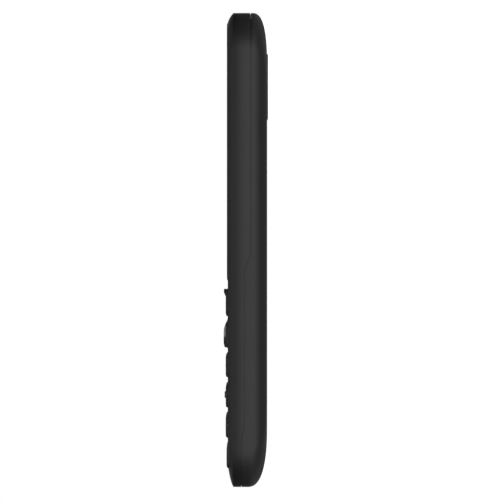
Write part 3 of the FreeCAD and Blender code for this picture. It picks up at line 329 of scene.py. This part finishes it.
def soft_edges(obj, width, segments=2, angle=32):
    settle(obj, "BEVEL", width=width * MM, segments=segments, limit_method="ANGLE",
           angle_limit=math.radians(angle), use_clamp_overlap=True, harden_normals=False)


def smooth(obj, angle=32):
    """Smooth shading up to the angle, with the broad faces' own direction kept at their edges."""
    bpy.ops.object.select_all(action="DESELECT")
    obj.select_set(True)
    bpy.context.view_layer.objects.active = obj
    bpy.ops.object.shade_smooth_by_angle(angle=math.radians(angle))
    settle(obj, "WEIGHTED_NORMAL", mode="FACE_AREA", weight=50, keep_sharp=True)


soft_edges(front_housing, 0.12)
smooth(front_housing)


class Value:
    """A node's output, wrapped so that sums on it read as sums."""

    def __init__(self, finish, socket):
        self.finish = finish
        self.socket = socket

    def sum(self, operation, first, second):
        return self.finish.add("ShaderNodeMath", {"operation": operation}, {0: first, 1: second})

    def __add__(self, other):
        return self.sum("ADD", self, other)

    def __radd__(self, other):
        return self.sum("ADD", other, self)

    def __sub__(self, other):
        return self.sum("SUBTRACT", self, other)

    def __rsub__(self, other):
        return self.sum("SUBTRACT", other, self)

    def __mul__(self, other):
        return self.sum("MULTIPLY", self, other)

    def __rmul__(self, other):
        return self.sum("MULTIPLY", other, self)

    def __truediv__(self, other):
        return self.sum("DIVIDE", self, other)

    def over(self, edge):
        return self.sum("GREATER_THAN", self, edge)

    def under(self, edge):
        return self.sum("LESS_THAN", self, edge)

    def size(self):
        return self.sum("ABSOLUTE", self, 0)

    def most(self, other):
        return self.sum("MAXIMUM", self, other)


class Finish:
    """A surface finish as a tree of nodes. Sums come from Value, any other node from add()."""

    def __init__(self, name, owner=None, **settings):
        self.material = owner or bpy.data.materials.new(name)
        self.material.use_nodes = True
        self.tree = self.material.node_tree
        self.shader = self.tree.nodes.get("Principled BSDF")
        for key, value in settings.items():
            self.set(key.replace("_", " "), value)

    def fill(self, socket, value):
        if isinstance(value, Value):
            self.tree.links.new(value.socket, socket)
        elif isinstance(value, tuple) and len(value) == 3 and socket.type == "RGBA":
            socket.default_value = (*value, 1)
        else:
            socket.default_value = value

    def set(self, name, value):
        self.fill(self.shader.inputs[name], value)

    def add(self, kind, settings, inputs, output=0):
        node = self.tree.nodes.new(kind)
        stops = settings.pop("stops", None)
        for key, value in settings.items():
            setattr(node, key, value)
        if stops:
            ramp = node.color_ramp
            while len(ramp.elements) < len(stops):
                ramp.elements.new(0.5)
            for element, (place, grey) in zip(ramp.elements, stops):
                element.position = place
                element.color = (grey, grey, grey, 1)
        for key, value in inputs.items():
            self.fill(node.inputs[key], value)
        return Value(self, node.outputs[output])

    def place(self):
        return self.add("ShaderNodeTexCoord", {}, {}, "Object")

    def axes(self):
        place = self.place()
        return [self.add("ShaderNodeSeparateXYZ", {}, {0: place}, name) for name in ("X", "Y", "Z")]

    def noise(self, scale, detail=2.0, rough=0.5):
        return self.add("ShaderNodeTexNoise", {}, {"Vector": self.place(), "Scale": scale, "Detail": detail,
                                                   "Roughness": rough}, 0)

    def ramp(self, value, stops):
        return self.add("ShaderNodeValToRGB", {"stops": stops}, {0: value}, 0)

    def mix(self, share, first, second):
        return self.add("ShaderNodeMix", {"data_type": "RGBA"}, {0: share, 6: first, 7: second}, 2)

    def bump(self, height, strength, distance):
        self.set("Normal", self.add("ShaderNodeBump", {}, {"Height": height, "Strength": strength,
                                                           "Distance": distance * MM}))

    def tint(self, colour, change, scale):
        """The colour, drifting between darker and lighter by the change, over patches of the scale."""
        low = tuple(c * (1 - change) for c in colour)
        high = tuple(c * (1 + change) for c in colour)
        return self.mix(self.noise(scale, 3), low, high)


def moulded(name, colour, roughness, grain, drift=0.1):
    """Moulded plastic, with the mould's fine grain and faint marks of handling."""
    made = Finish(name, IOR=1.46, Specular_IOR_Level=0.3)
    made.set("Base Color", made.tint(colour, drift, 70))
    made.set("Roughness", roughness + 0.08 * (made.noise(120, 4, 0.6) - 0.5))
    made.bump(made.noise(2600, 2), grain, 0.02)
    return made.material


def dress(obj, material, body, slot_name, *nodes):
    """Gives a piece its material and its body, and hides the CAD nodes it stands for. The slot name is not
    used.
    """
    obj.data.materials.clear()
    obj.data.materials.append(material)
    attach(obj, body)
    if nodes:
        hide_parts(*nodes)


satin_black = moulded("satin_black", (0.004, 0.004, 0.0044), 0.52, 0.10)
dress(front_housing, satin_black, "handset", "housing_plastic", "front_housing")


# Battery cover: matt black plastic, a tray that wraps the back and the lower sides
# and clips into the housing. It has a shallow recess for the camera plate, five
# slots over the loudspeaker, a pry notch at the corner and clip tabs inside.
CAMERA_Y, PLATE_WIDTH, PLATE_LENGTH, PLATE_RADIUS, PLATE_TOP = 42.9, 27.0, 17.0, 5.0, 0.64
SPEAKER_X, SPEAKER_Y, SLOT_PITCH = 16.2, -49.6, 2
FLASH_X = 7.4
CORNER_INWARD = CORNER * (1 - math.sqrt(0.5))
NOTCH_RADIUS, NOTCH_OUT, NOTCH_Z = 0.7, 0.35, 4.04
TAB_X, TAB_WIDTH, ROOT_X, ROOT_WIDTH, TAB_LENGTH, TAB_DEPTH = 24.975, 0.45, 25.12, 0.75, 6, 2.4

battery_cover = copy_of(phone_form, "battery_cover_shell")
carve(battery_cover, phone_room)
carve(battery_cover, seam_block("seam_cutter", -SEAM_GAP / 2), "INTERSECT")
bpy.data.objects.remove(phone_form)
cover_cuts = [block("plate_cutter", 0, CAMERA_Y, PLATE_WIDTH + 0.1, PLATE_LENGTH + 0.1, PLATE_RADIUS + 0.05,
                    -1, PLATE_TOP, 10)]
for i in range(-2, 3):
    cover_cuts.append(block("slot_cutter", SPEAKER_X + SLOT_PITCH * i, SPEAKER_Y, 1, 5, 0.49, -1, 3.4, 5))
carve(battery_cover, join(cover_cuts))
cover_cuts = [disc("lens_cutter", 0, CAMERA_Y, 3.35, -1, 3),
              disc("flash_cutter", FLASH_X, CAMERA_Y, 1.5, -1, 3, 40)]
cover_cuts.append(disc("notch_cutter", HALF_WIDTH - CORNER_INWARD + NOTCH_OUT,
                       HALF_LENGTH - CORNER_INWARD + NOTCH_OUT, NOTCH_RADIUS, NOTCH_Z, 6, 40))
carve(battery_cover, join(cover_cuts))
soft_edges(battery_cover, 0.12)
tabs = []
for side in (-1, 1):
    for y, rise in ((34, 0), (8, 0), (-24, 1)):
        seam = SEAM_Z + SEAM_STEP * rise
        low = seam - TAB_DEPTH
        tabs.append(block("cover_tab", side * TAB_X, y, TAB_WIDTH, TAB_LENGTH, 0.15, low, seam + 1.1, 3))
        tabs.append(block("tab_root", side * ROOT_X, y, ROOT_WIDTH, TAB_LENGTH, 0.15, low, seam - 0.6, 3))
battery_cover = join([battery_cover] + tabs)
smooth(battery_cover)
matt_black = moulded("matt_black", (0.004, 0.004, 0.0044), 0.54, 0.16)
dress(battery_cover, matt_black, "back_cover", "cover_plastic", "battery_cover")


# Display window: a flat sheet of clear acrylic with a ground edge, printed black from
# behind all round the display, held by a ring of black tape. The dead display behind
# it is a shade greyer than the print.
VIEW_HALF_WIDTH, VIEW_HALF_LENGTH = 18.35, 24.5
BORDER_HALF_WIDTH, BORDER_HALF_LENGTH = 18.9, 25.05
window = block("display_window_sheet", 0, WINDOW_Y, WINDOW_WIDTH, WINDOW_LENGTH, WINDOW_RADIUS, WINDOW_LOW,
               WINDOW_TOP, 16)
carve(window, block("ear_cutter", 0, EAR_Y, 9, 1.6, 0.75, 9, 11.5, 6))
soft_edges(window, 0.22, 3)
smooth(window)
glossy_print = Finish("printed_acrylic", IOR=1.49)
x, y, z = glossy_print.axes()
off_middle = (y - DISPLAY_Y * MM).size()
view = x.size().under(VIEW_HALF_WIDTH * MM) * off_middle.under(VIEW_HALF_LENGTH * MM)
border = x.size().under(BORDER_HALF_WIDTH * MM) * off_middle.under(BORDER_HALF_LENGTH * MM)
panel = glossy_print.mix(view, (0.004, 0.004, 0.005), (0.012, 0.013, 0.016))
glossy_print.set("Base Color", glossy_print.mix(border - view, panel, (0.002, 0.002, 0.002)))
glossy_print.set("Roughness", 0.06 + 0.05 * glossy_print.noise(45, 5, 0.65))
dress(window, glossy_print.material, "handset", "window_glass", "display_window")


# Earpiece grille: a strip of blackened perforated steel in the window's slot.
mesh_steel = Finish("blackened_mesh", Metallic=1.0)
mesh_steel.set("Base Color", mesh_steel.tint((0.16, 0.16, 0.165), 0.25, 900))
mesh_steel.set("Roughness", 0.38 + 0.2 * mesh_steel.noise(1500, 3))


def finish_nodes(material, *names):
    """CAD nodes that are shown as they are, with a finish of their own."""
    for name in names:
        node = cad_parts[name]
        node.data.materials.clear()
        node.data.materials.append(material)


finish_nodes(mesh_steel.material, "earpiece_grille", "loudspeaker_mesh")


# Number keys: satin black caps, each with softly broken edges and a legend printed in
# pale ink, a digit and beside it its letters or sign. The 5 key has a raised nib.
KEY_TOP = FACE_Z + 0.55
LAST_KEY_TOP = FACE_Z + 0.33
FLANGE_Z, FLANGE_SIDE, FLANGE_HEIGHT = 8.63, 0.35, 0.5
EDGE_ROLL = ((0.14, 0.04), (0.12, 0.1), (0.09, 0.18), (0.07, 0.26), (0.04, 0.36))


def key_cap(name, x, y, width, length, radius, top):
    """A cap with a flange under the face and a rolled upper edge."""
    cap = outline(name, x, y, width + 2 * FLANGE_SIDE, length + 2 * FLANGE_SIDE, radius + FLANGE_SIDE,
                  FLANGE_Z, 8)
    grow(FLANGE_HEIGHT)
    bpy.ops.mesh.inset(thickness=FLANGE_SIDE * MM)
    grow(top - FLANGE_Z - FLANGE_HEIGHT - sum(rise for rise, inward in EDGE_ROLL))
    for rise, inward in EDGE_ROLL:
        bpy.ops.mesh.extrude_region_move(TRANSFORM_OT_translate={"value": (0, 0, 0)})
        bpy.ops.mesh.inset(thickness=inward * MM)
        bpy.ops.transform.translate(value=(0, 0, rise * MM))
    bpy.ops.mesh.select_all(action="SELECT")
    bpy.ops.mesh.remove_doubles(threshold=0.000002)
    bpy.ops.mesh.normals_make_consistent(inside=False)
    close_mesh()
    smooth(cap, 40)
    return cap


key_black = moulded("key_black", (0.0085, 0.0085, 0.0092), 0.5, 0.08)
pale_ink = moulded("pale_ink", (0.62, 0.63, 0.64), 0.5, 0.1, 0.05)


def letters(name, words, material, body, slot_name):
    """Printed signs: each word (text, x, y, height, z) becomes a thin mesh, and all become one piece."""
    made = []
    for text, x, y, height, z in words:
        bpy.ops.object.select_all(action="DESELECT")
        bpy.ops.object.text_add(location=(x * MM, y * MM, z * MM))
        word = bpy.context.object
        word.data.body = text
        word.data.size = height * 1.38 * MM
        word.data.align_x = "CENTER"
        word.data.align_y = "CENTER"
        word.data.extrude = 0.012 * MM
        word.data.resolution_u = 6
        bpy.ops.object.convert(target="MESH")
        bpy.ops.object.transform_apply(location=True, rotation=True, scale=True)
        open_mesh(bpy.context.object)
        bpy.ops.mesh.select_all(action="SELECT")
        bpy.ops.mesh.remove_doubles(threshold=0.000001)
        bpy.ops.mesh.normals_make_consistent(inside=False)
        close_mesh()
        made.append(bpy.context.object)
    sign = join(made)
    sign.name = name
    sign.data.name = name
    dress(sign, material, body, slot_name)
    return sign


NIB_WIDTH, NIB_LENGTH, NIB_RISE, PRINT_RISE = 2.4, 1.8, 0.34, 0.012
DIGIT_HEIGHT, STAR_HEIGHT, WORD_HEIGHT, DIGIT_X, WORD_X = 2.7, 4.2, 1.35, -3.3, 3.2
LEGENDS = {"1": "", "2": "ABC", "3": "DEF", "4": "GHI", "5": "JKL", "6": "MNO", "7": "PQRS", "8": "TUV",
           "9": "WXYZ", "0": "+", "star": "", "hash": ""}
SIGNS = {"star": "*", "hash": "#"}
for name, (x, y) in NUMBER_KEYS.items():
    word = name[4:]
    top = LAST_KEY_TOP if word in ("star", "0", "hash") else KEY_TOP
    cap = key_cap(name + "_cap", x, y, KEY_WIDTH, KEY_LENGTH, KEY_RADIUS, top)
    if word == "5":
        nib = block("nib", x, y, NIB_WIDTH, NIB_LENGTH, 0.85, top - 0.1, top + NIB_RISE, 6)
        soft_edges(nib, 0.2, 4)
        cap = join([cap, nib])
        smooth(cap, 40)
    dress(cap, key_black, name, "key_plastic", name)
    print_z = top + PRINT_RISE
    digit_x = x + (DIGIT_X if LEGENDS[word] else 0)
    words = [(SIGNS.get(word, word), digit_x, y - (0.5 if word == "star" else 0),
              STAR_HEIGHT if word == "star" else DIGIT_HEIGHT, print_z)]
    if LEGENDS[word]:
        words.append((LEGENDS[word], x + WORD_X, y, WORD_HEIGHT, print_z))
    letters(name + "_legend", words, pale_ink, name, "key_plastic")


# Soft keys and call keys: caps like the others, a little longer. The soft keys carry
# a dash, the call keys a handset sign in green or red ink.
SIGN_RADIUS, SIGN_HOLE, SIGN_DROP, SIGN_RISE = 2.75, 2.0, 1.7, 0.03
call_green = moulded("call_green", (0.02, 0.36, 0.07), 0.5, 0.1, 0.05)
end_red = moulded("end_red", (0.55, 0.025, 0.02), 0.5, 0.1, 0.05)
for name, (x, y) in SIDE_KEYS.items():
    cap = key_cap(name + "_cap", x, y, SIDE_KEY_WIDTH, SIDE_KEY_LENGTH, KEY_RADIUS, KEY_TOP)
    dress(cap, key_black, name, "key_plastic", name)
    top = KEY_TOP
    if name.startswith("soft"):
        dash = block(name + "_dash", x, y, 3.4, 0.45, 0.2, top, top + SIGN_RISE, 4)
        dress(dash, pale_ink, name, "key_plastic")
        continue
    sign = disc(name + "_sign", x, y - SIGN_DROP, SIGN_RADIUS, top, top + SIGN_RISE)
    carve(sign, disc("sign_cutter", x, y - SIGN_DROP, SIGN_HOLE, top - 1, top + 1))
    carve(sign, block("sign_cutter", x, y - 3.4, 8, 5.6, 0, top - 1, top + 1))
    for side in (-1, 1):
        end = block("sign_end", x + side * 2.1, y - 0.75, 1.15, 1.35, 0.3, top, top + SIGN_RISE, 4)
        carve(sign, end, "UNION")
    dress(sign, call_green if name == "call_key" else end_red, name, "key_plastic")


# Navigation key: a dished ring of gloss black, high at its top and bottom edges, round
# a sunk centre key.
CREST, CENTRE_HOLE, ROCKER_ROOM, ROCKER_ROOF = FACE_Z + 1.12, 3.7, 5.8, FLANGE_Z + 0.42
DISH = [(7.7, -0.2), (7.4, -0.06), (6.9, -0.05), (6.5, -0.16), (6.0, -0.4), (5.2, -0.62), (4.3, -0.8),
        (3.2, -0.97), (1.9, -1.1), (0.8, -1.13), (-0.2, -1.02), (-0.8, -0.8), (-1.4, -0.5), (-2.1, -0.24),
        (-2.7, -0.09), (-3.4, -0.01), (-4.9, 0), (-6.3, 0), (-6.9, -0.06), (-7.4, -0.2), (-7.7, -0.5)]


def dish_block():
    """A block whose lower side follows the dish, to be taken off the ring."""
    bpy.ops.object.select_all(action="DESELECT")
    bpy.ops.mesh.primitive_cube_add(size=1, location=(0, NAV_Y * MM, (CREST + 2) * MM))
    obj = bpy.context.object
    obj.scale = (30 * MM, NAV_LENGTH * MM, 4 * MM)
    bpy.ops.object.transform_apply(location=True, rotation=True, scale=True)
    open_mesh(obj)
    for y, drop in DISH[1:-1]:
        bpy.ops.mesh.select_all(action="SELECT")
        bpy.ops.mesh.bisect(plane_co=(0, (NAV_Y + y) * MM, 0), plane_no=(0, 1, 0))
    for y, drop in DISH:
        bpy.ops.mesh.select_all(action="SELECT")
        push(obj, lambda co: co.z < (CREST + 1) * MM and abs(co.y - (NAV_Y + y) * MM) < 2e-6, z=drop)
    bpy.ops.mesh.select_all(action="SELECT")
    push(obj, lambda co: abs(co.y - (NAV_Y + NAV_LENGTH / 2) * MM) < 2e-6, y=1)
    bpy.ops.mesh.select_all(action="SELECT")
    push(obj, lambda co: abs(co.y - (NAV_Y - NAV_LENGTH / 2) * MM) < 2e-6, y=-1)
    turn_out()
    close_mesh()
    return obj


nav = block("nav_ring_cap", 0, NAV_Y, NAV_WIDTH, NAV_LENGTH, NAV_RADIUS, FLANGE_Z + 0.3, CREST, 12)
carve(nav, dish_block())
carve(nav, disc("centre_cutter", 0, NAV_Y, CENTRE_HOLE, ROOM_Z, ABOVE_Z))
carve(nav, disc("rocker_cutter", 0, NAV_Y, ROCKER_ROOM, ROOM_Z, ROCKER_ROOF))
soft_edges(nav, 0.16, 3)
flange = block("nav_flange", 0, NAV_Y, NAV_WIDTH + 0.7, NAV_LENGTH + 0.7, NAV_RADIUS + 0.35, FLANGE_Z,
               FLANGE_Z + 0.35, 8)
carve(flange, disc("flange_cutter", 0, NAV_Y, ROCKER_ROOM, ROOM_Z, ABOVE_Z))
nav = join([nav, flange])
smooth(nav, 38)
gloss_black = Finish("gloss_black", IOR=1.5, Coat_Weight=0.2, Coat_Roughness=0.1)
gloss_black.set("Base Color", gloss_black.tint((0.016, 0.016, 0.018), 0.12, 90))
gloss_black.set("Roughness", 0.28 + 0.08 * gloss_black.noise(160, 4))
dress(nav, gloss_black.material, "nav_ring", "nav_plastic", "nav_ring")

centre = disc("nav_center_cap", 0, NAV_Y, 3.85, FLANGE_Z, FLANGE_Z + 0.4)
open_mesh(centre)
bpy.ops.mesh.select_all(action="DESELECT")
mesh = bmesh.from_edit_mesh(centre.data)
for face in mesh.faces:
    face.select_set(face.normal.z > 0.9)
bmesh.update_edit_mesh(centre.data)
bpy.ops.mesh.inset(thickness=0.35 * MM)
grow(1.32)
for inward, rise in ((0.05, 0.06), (0.1, 0.06), (0.15, 0.03), (0.7, 0.0), (0.35, -0.08), (0.6, -0.06)):
    bpy.ops.mesh.inset(thickness=inward * MM)
    bpy.ops.transform.translate(value=(0, 0, rise * MM))
turn_out()
close_mesh()
smooth(centre, 40)
dress(centre, gloss_black.material, "nav_center_key", "nav_plastic", "nav_center_key")


# Camera plate: a gloss black plate set into the cover's back and standing a little
# proud of it, with the camera's glass in a turned metal ring and the flash's hole.
LENS_RADIUS, RING_HOLE, RING_RADIUS, SEAT_RADIUS, FLASH_HOLE = 3.25, 3.28, 3.68, 3.7, 1.45
plate = block("camera_plate_cap", 0, CAMERA_Y, PLATE_WIDTH, PLATE_LENGTH, PLATE_RADIUS, 0, PLATE_TOP, 12)
carve(plate, join([disc("lens_cutter", 0, CAMERA_Y, SEAT_RADIUS, -2, 3),
                   disc("flash_cutter", FLASH_X, CAMERA_Y, FLASH_HOLE, -2, 3, 40)]))
soft_edges(plate, 0.16, 3)
smooth(plate)
dress(plate, gloss_black.material, "back_cover", "plate_plastic", "camera_plate")

bezel = disc("camera_ring", 0, CAMERA_Y, RING_RADIUS, 0.03, 0.56)
carve(bezel, disc("ring_cutter", 0, CAMERA_Y, RING_HOLE, -1, 1))
soft_edges(bezel, 0.1, 3)
smooth(bezel)
turned_alloy = Finish("turned_alloy", Metallic=1.0)
turned_alloy.set("Base Color", turned_alloy.tint((0.3, 0.3, 0.31), 0.15, 300))
turned_alloy.set("Roughness", 0.26 + 0.12 * turned_alloy.noise(900, 3))
dress(bezel, turned_alloy.material, "back_cover", "plate_plastic")

lens_glass = Finish("camera_glass", IOR=1.5, Coat_Weight=1.0, Coat_Roughness=0.02)
x, y, z = lens_glass.axes()
from_middle = lens_glass.add("ShaderNodeCombineXYZ", {}, {0: x, 1: y - CAMERA_Y * MM, 2: 0.0})
reach = lens_glass.add("ShaderNodeVectorMath", {"operation": "LENGTH"}, {0: from_middle}, 1)
# The glass is opaque, so its colour paints what lies behind it: the dark lens barrel, partly real colour,
# with thin bright rings and a bluish tint that are painted glints and painted coating reflections of the
# lens elements.
barrel_and_painted_glints = lens_glass.ramp(reach / (3.3 * MM),
                        [(0.0, 0.02), (0.26, 0.008), (0.3, 0.05), (0.34, 0.006), (0.5, 0.006),
                         (0.53, 0.035), (0.57, 0.004), (0.8, 0.004), (0.84, 0.02), (1.0, 0.02)])
lens_glass.set("Base Color", lens_glass.add("ShaderNodeVectorMath", {"operation": "MULTIPLY"},
                                            {0: barrel_and_painted_glints, 1: (0.75, 0.85, 1.3)}))
lens_glass.set("Roughness", 0.05 + 0.04 * lens_glass.noise(300, 3))
lens = disc("camera_window_glass", 0, CAMERA_Y, LENS_RADIUS, 0.08, 0.58)
soft_edges(lens, 0.08, 2)
smooth(lens)
dress(lens, lens_glass.material, "back_cover", "camera_glass", "camera_window")


# Black mouldings inside: the glass-filled chassis that carries the board, and the
# sockets, speakers and switch carrier. They show when the cover is off, and are the
# CAD's own solids with a finish, as all the inner pieces below are.
finish_nodes(moulded("chassis_black", (0.03, 0.03, 0.032), 0.5, 0.25), "rear_chassis")
finish_nodes(moulded("socket_black", (0.02, 0.02, 0.02), 0.42, 0.1), "audio_jack", "battery_connector",
             "nav_rocker", "loudspeaker", "earpiece_receiver", "camera_module", "board_components")


# Inner metal pieces: folded cans and sockets of tinned sheet, blackened screws, a
# plated antenna, contact domes of spring steel and the motor's heavy sintered weight.
def metal(name, colour, roughness, scale=400):
    made = Finish(name, Metallic=1.0)
    made.set("Base Color", made.tint(colour, 0.12, scale))
    made.set("Roughness", roughness + 0.14 * made.noise(scale * 2, 4))
    made.bump(made.noise(scale * 4, 2), 0.08, 0.01)
    return made.material


finish_nodes(metal("tinned_sheet", (0.62, 0.62, 0.6), 0.25), "processor_shield", "radio_shield",
             "sim_socket_a", "sim_socket_b", "memory_card_socket", "usb_socket", "display_bracket",
             "microphone", "vibration_motor")
finish_nodes(metal("heavy_metal", (0.34, 0.34, 0.35), 0.4), "eccentric_weight")
finish_nodes(metal("black_steel", (0.07, 0.07, 0.075), 0.35), "chassis_screws")
finish_nodes(metal("plated_copper", (0.72, 0.42, 0.2), 0.3), "antenna")
finish_nodes(metal("dome_steel", (0.6, 0.6, 0.58), 0.28), "dome_sheet")


# Soft pieces, lights and the display inside: a moulded silicone mat under the keys,
# die-cut foam round the display and the window, an amber strip of flexible circuit,
# lights cast in yellow resin, and the display's own dark glass.
finish_nodes(moulded("milky_silicone", (0.5, 0.5, 0.47), 0.55, 0.15), "keypad_mat")
finish_nodes(moulded("black_foam", (0.02, 0.02, 0.02), 0.85, 0.6), "display_gasket", "window_gasket")
finish_nodes(moulded("amber_film", (0.42, 0.17, 0.02), 0.3, 0.05), "display_flex")
finish_nodes(moulded("led_resin", (0.8, 0.68, 0.2), 0.3, 0.05), "keypad_leds", "flash_led")
finish_nodes(moulded("display_panel", (0.03, 0.035, 0.045), 0.25, 0.03), "display_module")


# Main board: glass-fibre laminate under green lacquer, with paler copper tracks that
# show through it. It is screwed between the chassis and the housing.
board_green = Finish("board_green", Coat_Weight=0.5, Coat_Roughness=0.15)
tracks = board_green.add("ShaderNodeTexVoronoi", {"feature": "DISTANCE_TO_EDGE", "distance": "CHEBYCHEV"},
                         {"Vector": board_green.place(), "Scale": 420.0, "Randomness": 0.6})
lacquer = board_green.tint((0.01, 0.1, 0.04), 0.2, 60)
board_green.set("Base Color", board_green.mix(tracks.under(0.06), lacquer, (0.03, 0.2, 0.08)))
board_green.set("Roughness", 0.32 + 0.1 * board_green.noise(200))
finish_nodes(board_green.material, "main_board")


# Battery: a flat cell in black film, with a pale printed panel on its back and a
# blue band across it. It drops into the chassis and its contacts face the connector.
BATTERY_Y, PANEL_HALF_WIDTH, PANEL_HALF_LENGTH = -21.2, 16, 19
BAND_Y, BAND_HALF_LENGTH = -4.0, 1.2
wrap = Finish("battery_wrap", Coat_Weight=0.3, Coat_Roughness=0.2)
x, y, z = wrap.axes()
panel = x.size().under(PANEL_HALF_WIDTH * MM) * (y - BATTERY_Y * MM).size().under(PANEL_HALF_LENGTH * MM)
band = (y - BAND_Y * MM).size().under(BAND_HALF_LENGTH * MM)
printed = wrap.mix(panel, wrap.tint((0.05, 0.05, 0.055), 0.15, 80), wrap.tint((0.34, 0.35, 0.36), 0.05, 80))
wrap.set("Base Color", wrap.mix(panel * band, printed, (0.03, 0.12, 0.3)))
wrap.set("Roughness", 0.35 + 0.1 * wrap.noise(150))
wrap.bump(wrap.noise(90, 3), 0.12, 0.1)
finish_nodes(wrap.material, "battery")


# Flash lens: a light pipe of clear resin from the board's light to the camera plate.
clear_resin = Finish("clear_resin", IOR=1.5, Transmission_Weight=0.7, Roughness=0.12)
clear_resin.set("Base Color", clear_resin.tint((0.85, 0.83, 0.7), 0.06, 500))
finish_nodes(clear_resin.material, "flash_lens")


# Studio table: a white top that keeps the phone's shadow near it, shows as plain white
# further off and lets the lamps under it shine through.
bpy.ops.object.select_all(action="DESELECT")
bpy.ops.mesh.primitive_plane_add(size=6, location=(0, 0, 0))
floor = bpy.context.object
floor.name = "studio_table"
table = Finish("table_white", Roughness=0.9)
table.set("Base Color", table.tint((0.8, 0.8, 0.8), 0.01, 3))
seen = table.add("ShaderNodeLightPath", {}, {}, "Is Camera Ray")
seen = seen.most(table.add("ShaderNodeLightPath", {}, {}, "Is Transmission Ray"))
near_side = table.add("ShaderNodeMapRange", {"clamp": True},
                      {"Value": table.axes()[0], "From Min": 0.0, "From Max": 0.03, "To Max": 0.5})
seen = seen.most(table.add("ShaderNodeLightPath", {}, {}, "Is Glossy Ray") * near_side)
paint = Value(table, table.shader.outputs[0])
near_white = table.add("ShaderNodeEmission", {}, {"Color": (1, 1, 1), "Strength": 0.84})
far_white = table.add("ShaderNodeEmission", {}, {"Color": (1, 1, 1), "Strength": 1.0})
reach = table.add("ShaderNodeVectorMath", {"operation": "LENGTH"}, {0: table.place()}, 1)
far = table.add("ShaderNodeMapRange", {"clamp": True}, {"Value": reach, "From Min": 0.1, "From Max": 0.4})
white = table.add("ShaderNodeMixShader", {}, {0: far, 1: near_white, 2: far_white})
lit_white = table.add("ShaderNodeAddShader", {}, {0: paint, 1: white})
top = table.add("ShaderNodeMixShader", {}, {0: seen, 1: paint, 2: lit_white})
through = table.add("ShaderNodeNewGeometry", {}, {}, "Backfacing")
through = through.most(table.add("ShaderNodeLightPath", {}, {}, "Is Shadow Ray"))
clear = table.add("ShaderNodeBsdfTransparent", {}, {})
whole = table.add("ShaderNodeMixShader", {}, {0: through, 1: top, 2: clear})
table.tree.links.new(whole.socket, table.tree.nodes["Material Output"].inputs["Surface"])
floor.data.materials.append(table.material)


# Studio surround: white where the camera looks past the phone, dim as a light, so that
# the soft lamps shape the black plastic.
world = bpy.data.worlds.new("white_surround")
bpy.context.scene.world = world
sky = Finish("white_surround", world)
backdrop = sky.tree.nodes["Background"]
backdrop.inputs["Color"].default_value = (1, 1, 1, 1)
away = sky.add("ShaderNodeSeparateXYZ", {}, {0: sky.add("ShaderNodeTexCoord", {}, {}, "Generated")}, "X")
behind = sky.add("ShaderNodeMapRange", {"clamp": True}, {"Value": away, "From Min": -0.85, "From Max": -1.0})
open_view = sky.add("ShaderNodeLightPath", {}, {}, "Is Camera Ray")
open_view = open_view.most(sky.add("ShaderNodeLightPath", {}, {}, "Is Transmission Ray"))
open_view = open_view.most(sky.add("ShaderNodeLightPath", {}, {}, "Is Glossy Ray") * behind)
sky.fill(backdrop.inputs["Strength"], 0.04 + 0.96 * open_view)


# Lamps: a long softbox on the camera's side for the body's highlight, two weaker ones
# above and below it for the rolled edges, and large ones over the face and the back.
AIM = (0, 0, 0.005)


def lamp(name, place, width, height, power):
    bpy.ops.object.select_all(action="DESELECT")
    bpy.ops.object.light_add(type="AREA", location=place)
    made = bpy.context.object
    made.name = name
    made.data.shape = "RECTANGLE"
    made.data.size = width
    made.data.size_y = height
    made.data.energy = power
    way = [a - p for a, p in zip(AIM, place)]
    reach = math.sqrt(sum(c * c for c in way))
    made.rotation_euler = (math.acos(-way[2] / reach), 0, math.atan2(way[1], way[0]) - math.pi / 2)
    made.visible_camera = False


lamp("key_softbox", (1.0, 0, -0.1), 0.9, 0.3, 11.2)
lamp("face_softbox", (0.62, 0, 0.78), 0.9, 0.3, 2.1)
lamp("top_softbox", (-0.1, 0, 1.0), 1.4, 1.4, 3.5)
lamp("low_softbox", (-0.1, 0, -0.9), 1.0, 1.0, 2.5)
lamp("under_softbox", (0.55, 0, -0.8), 0.9, 0.3, 2.7)

# Camera: beside the phone at the height of its middle, turned so that the phone's top
# end is up in the picture, with a long lens.
LENS, FRAME_MM, NEAR_X = 600.0, 130.8, 16.5
bpy.ops.object.select_all(action="DESELECT")
bpy.ops.object.camera_add(location=((NEAR_X + FRAME_MM * LENS / 36) * MM, 0, 4.72 * MM),
                          rotation=(0, math.radians(90), 0))
camera = bpy.context.object
camera.data.lens = LENS
camera.data.sensor_width = 36
camera.data.clip_start = 0.01
camera.data.clip_end = 20
bpy.context.scene.camera = camera
bpy.context.scene.view_settings.view_transform = "Standard"
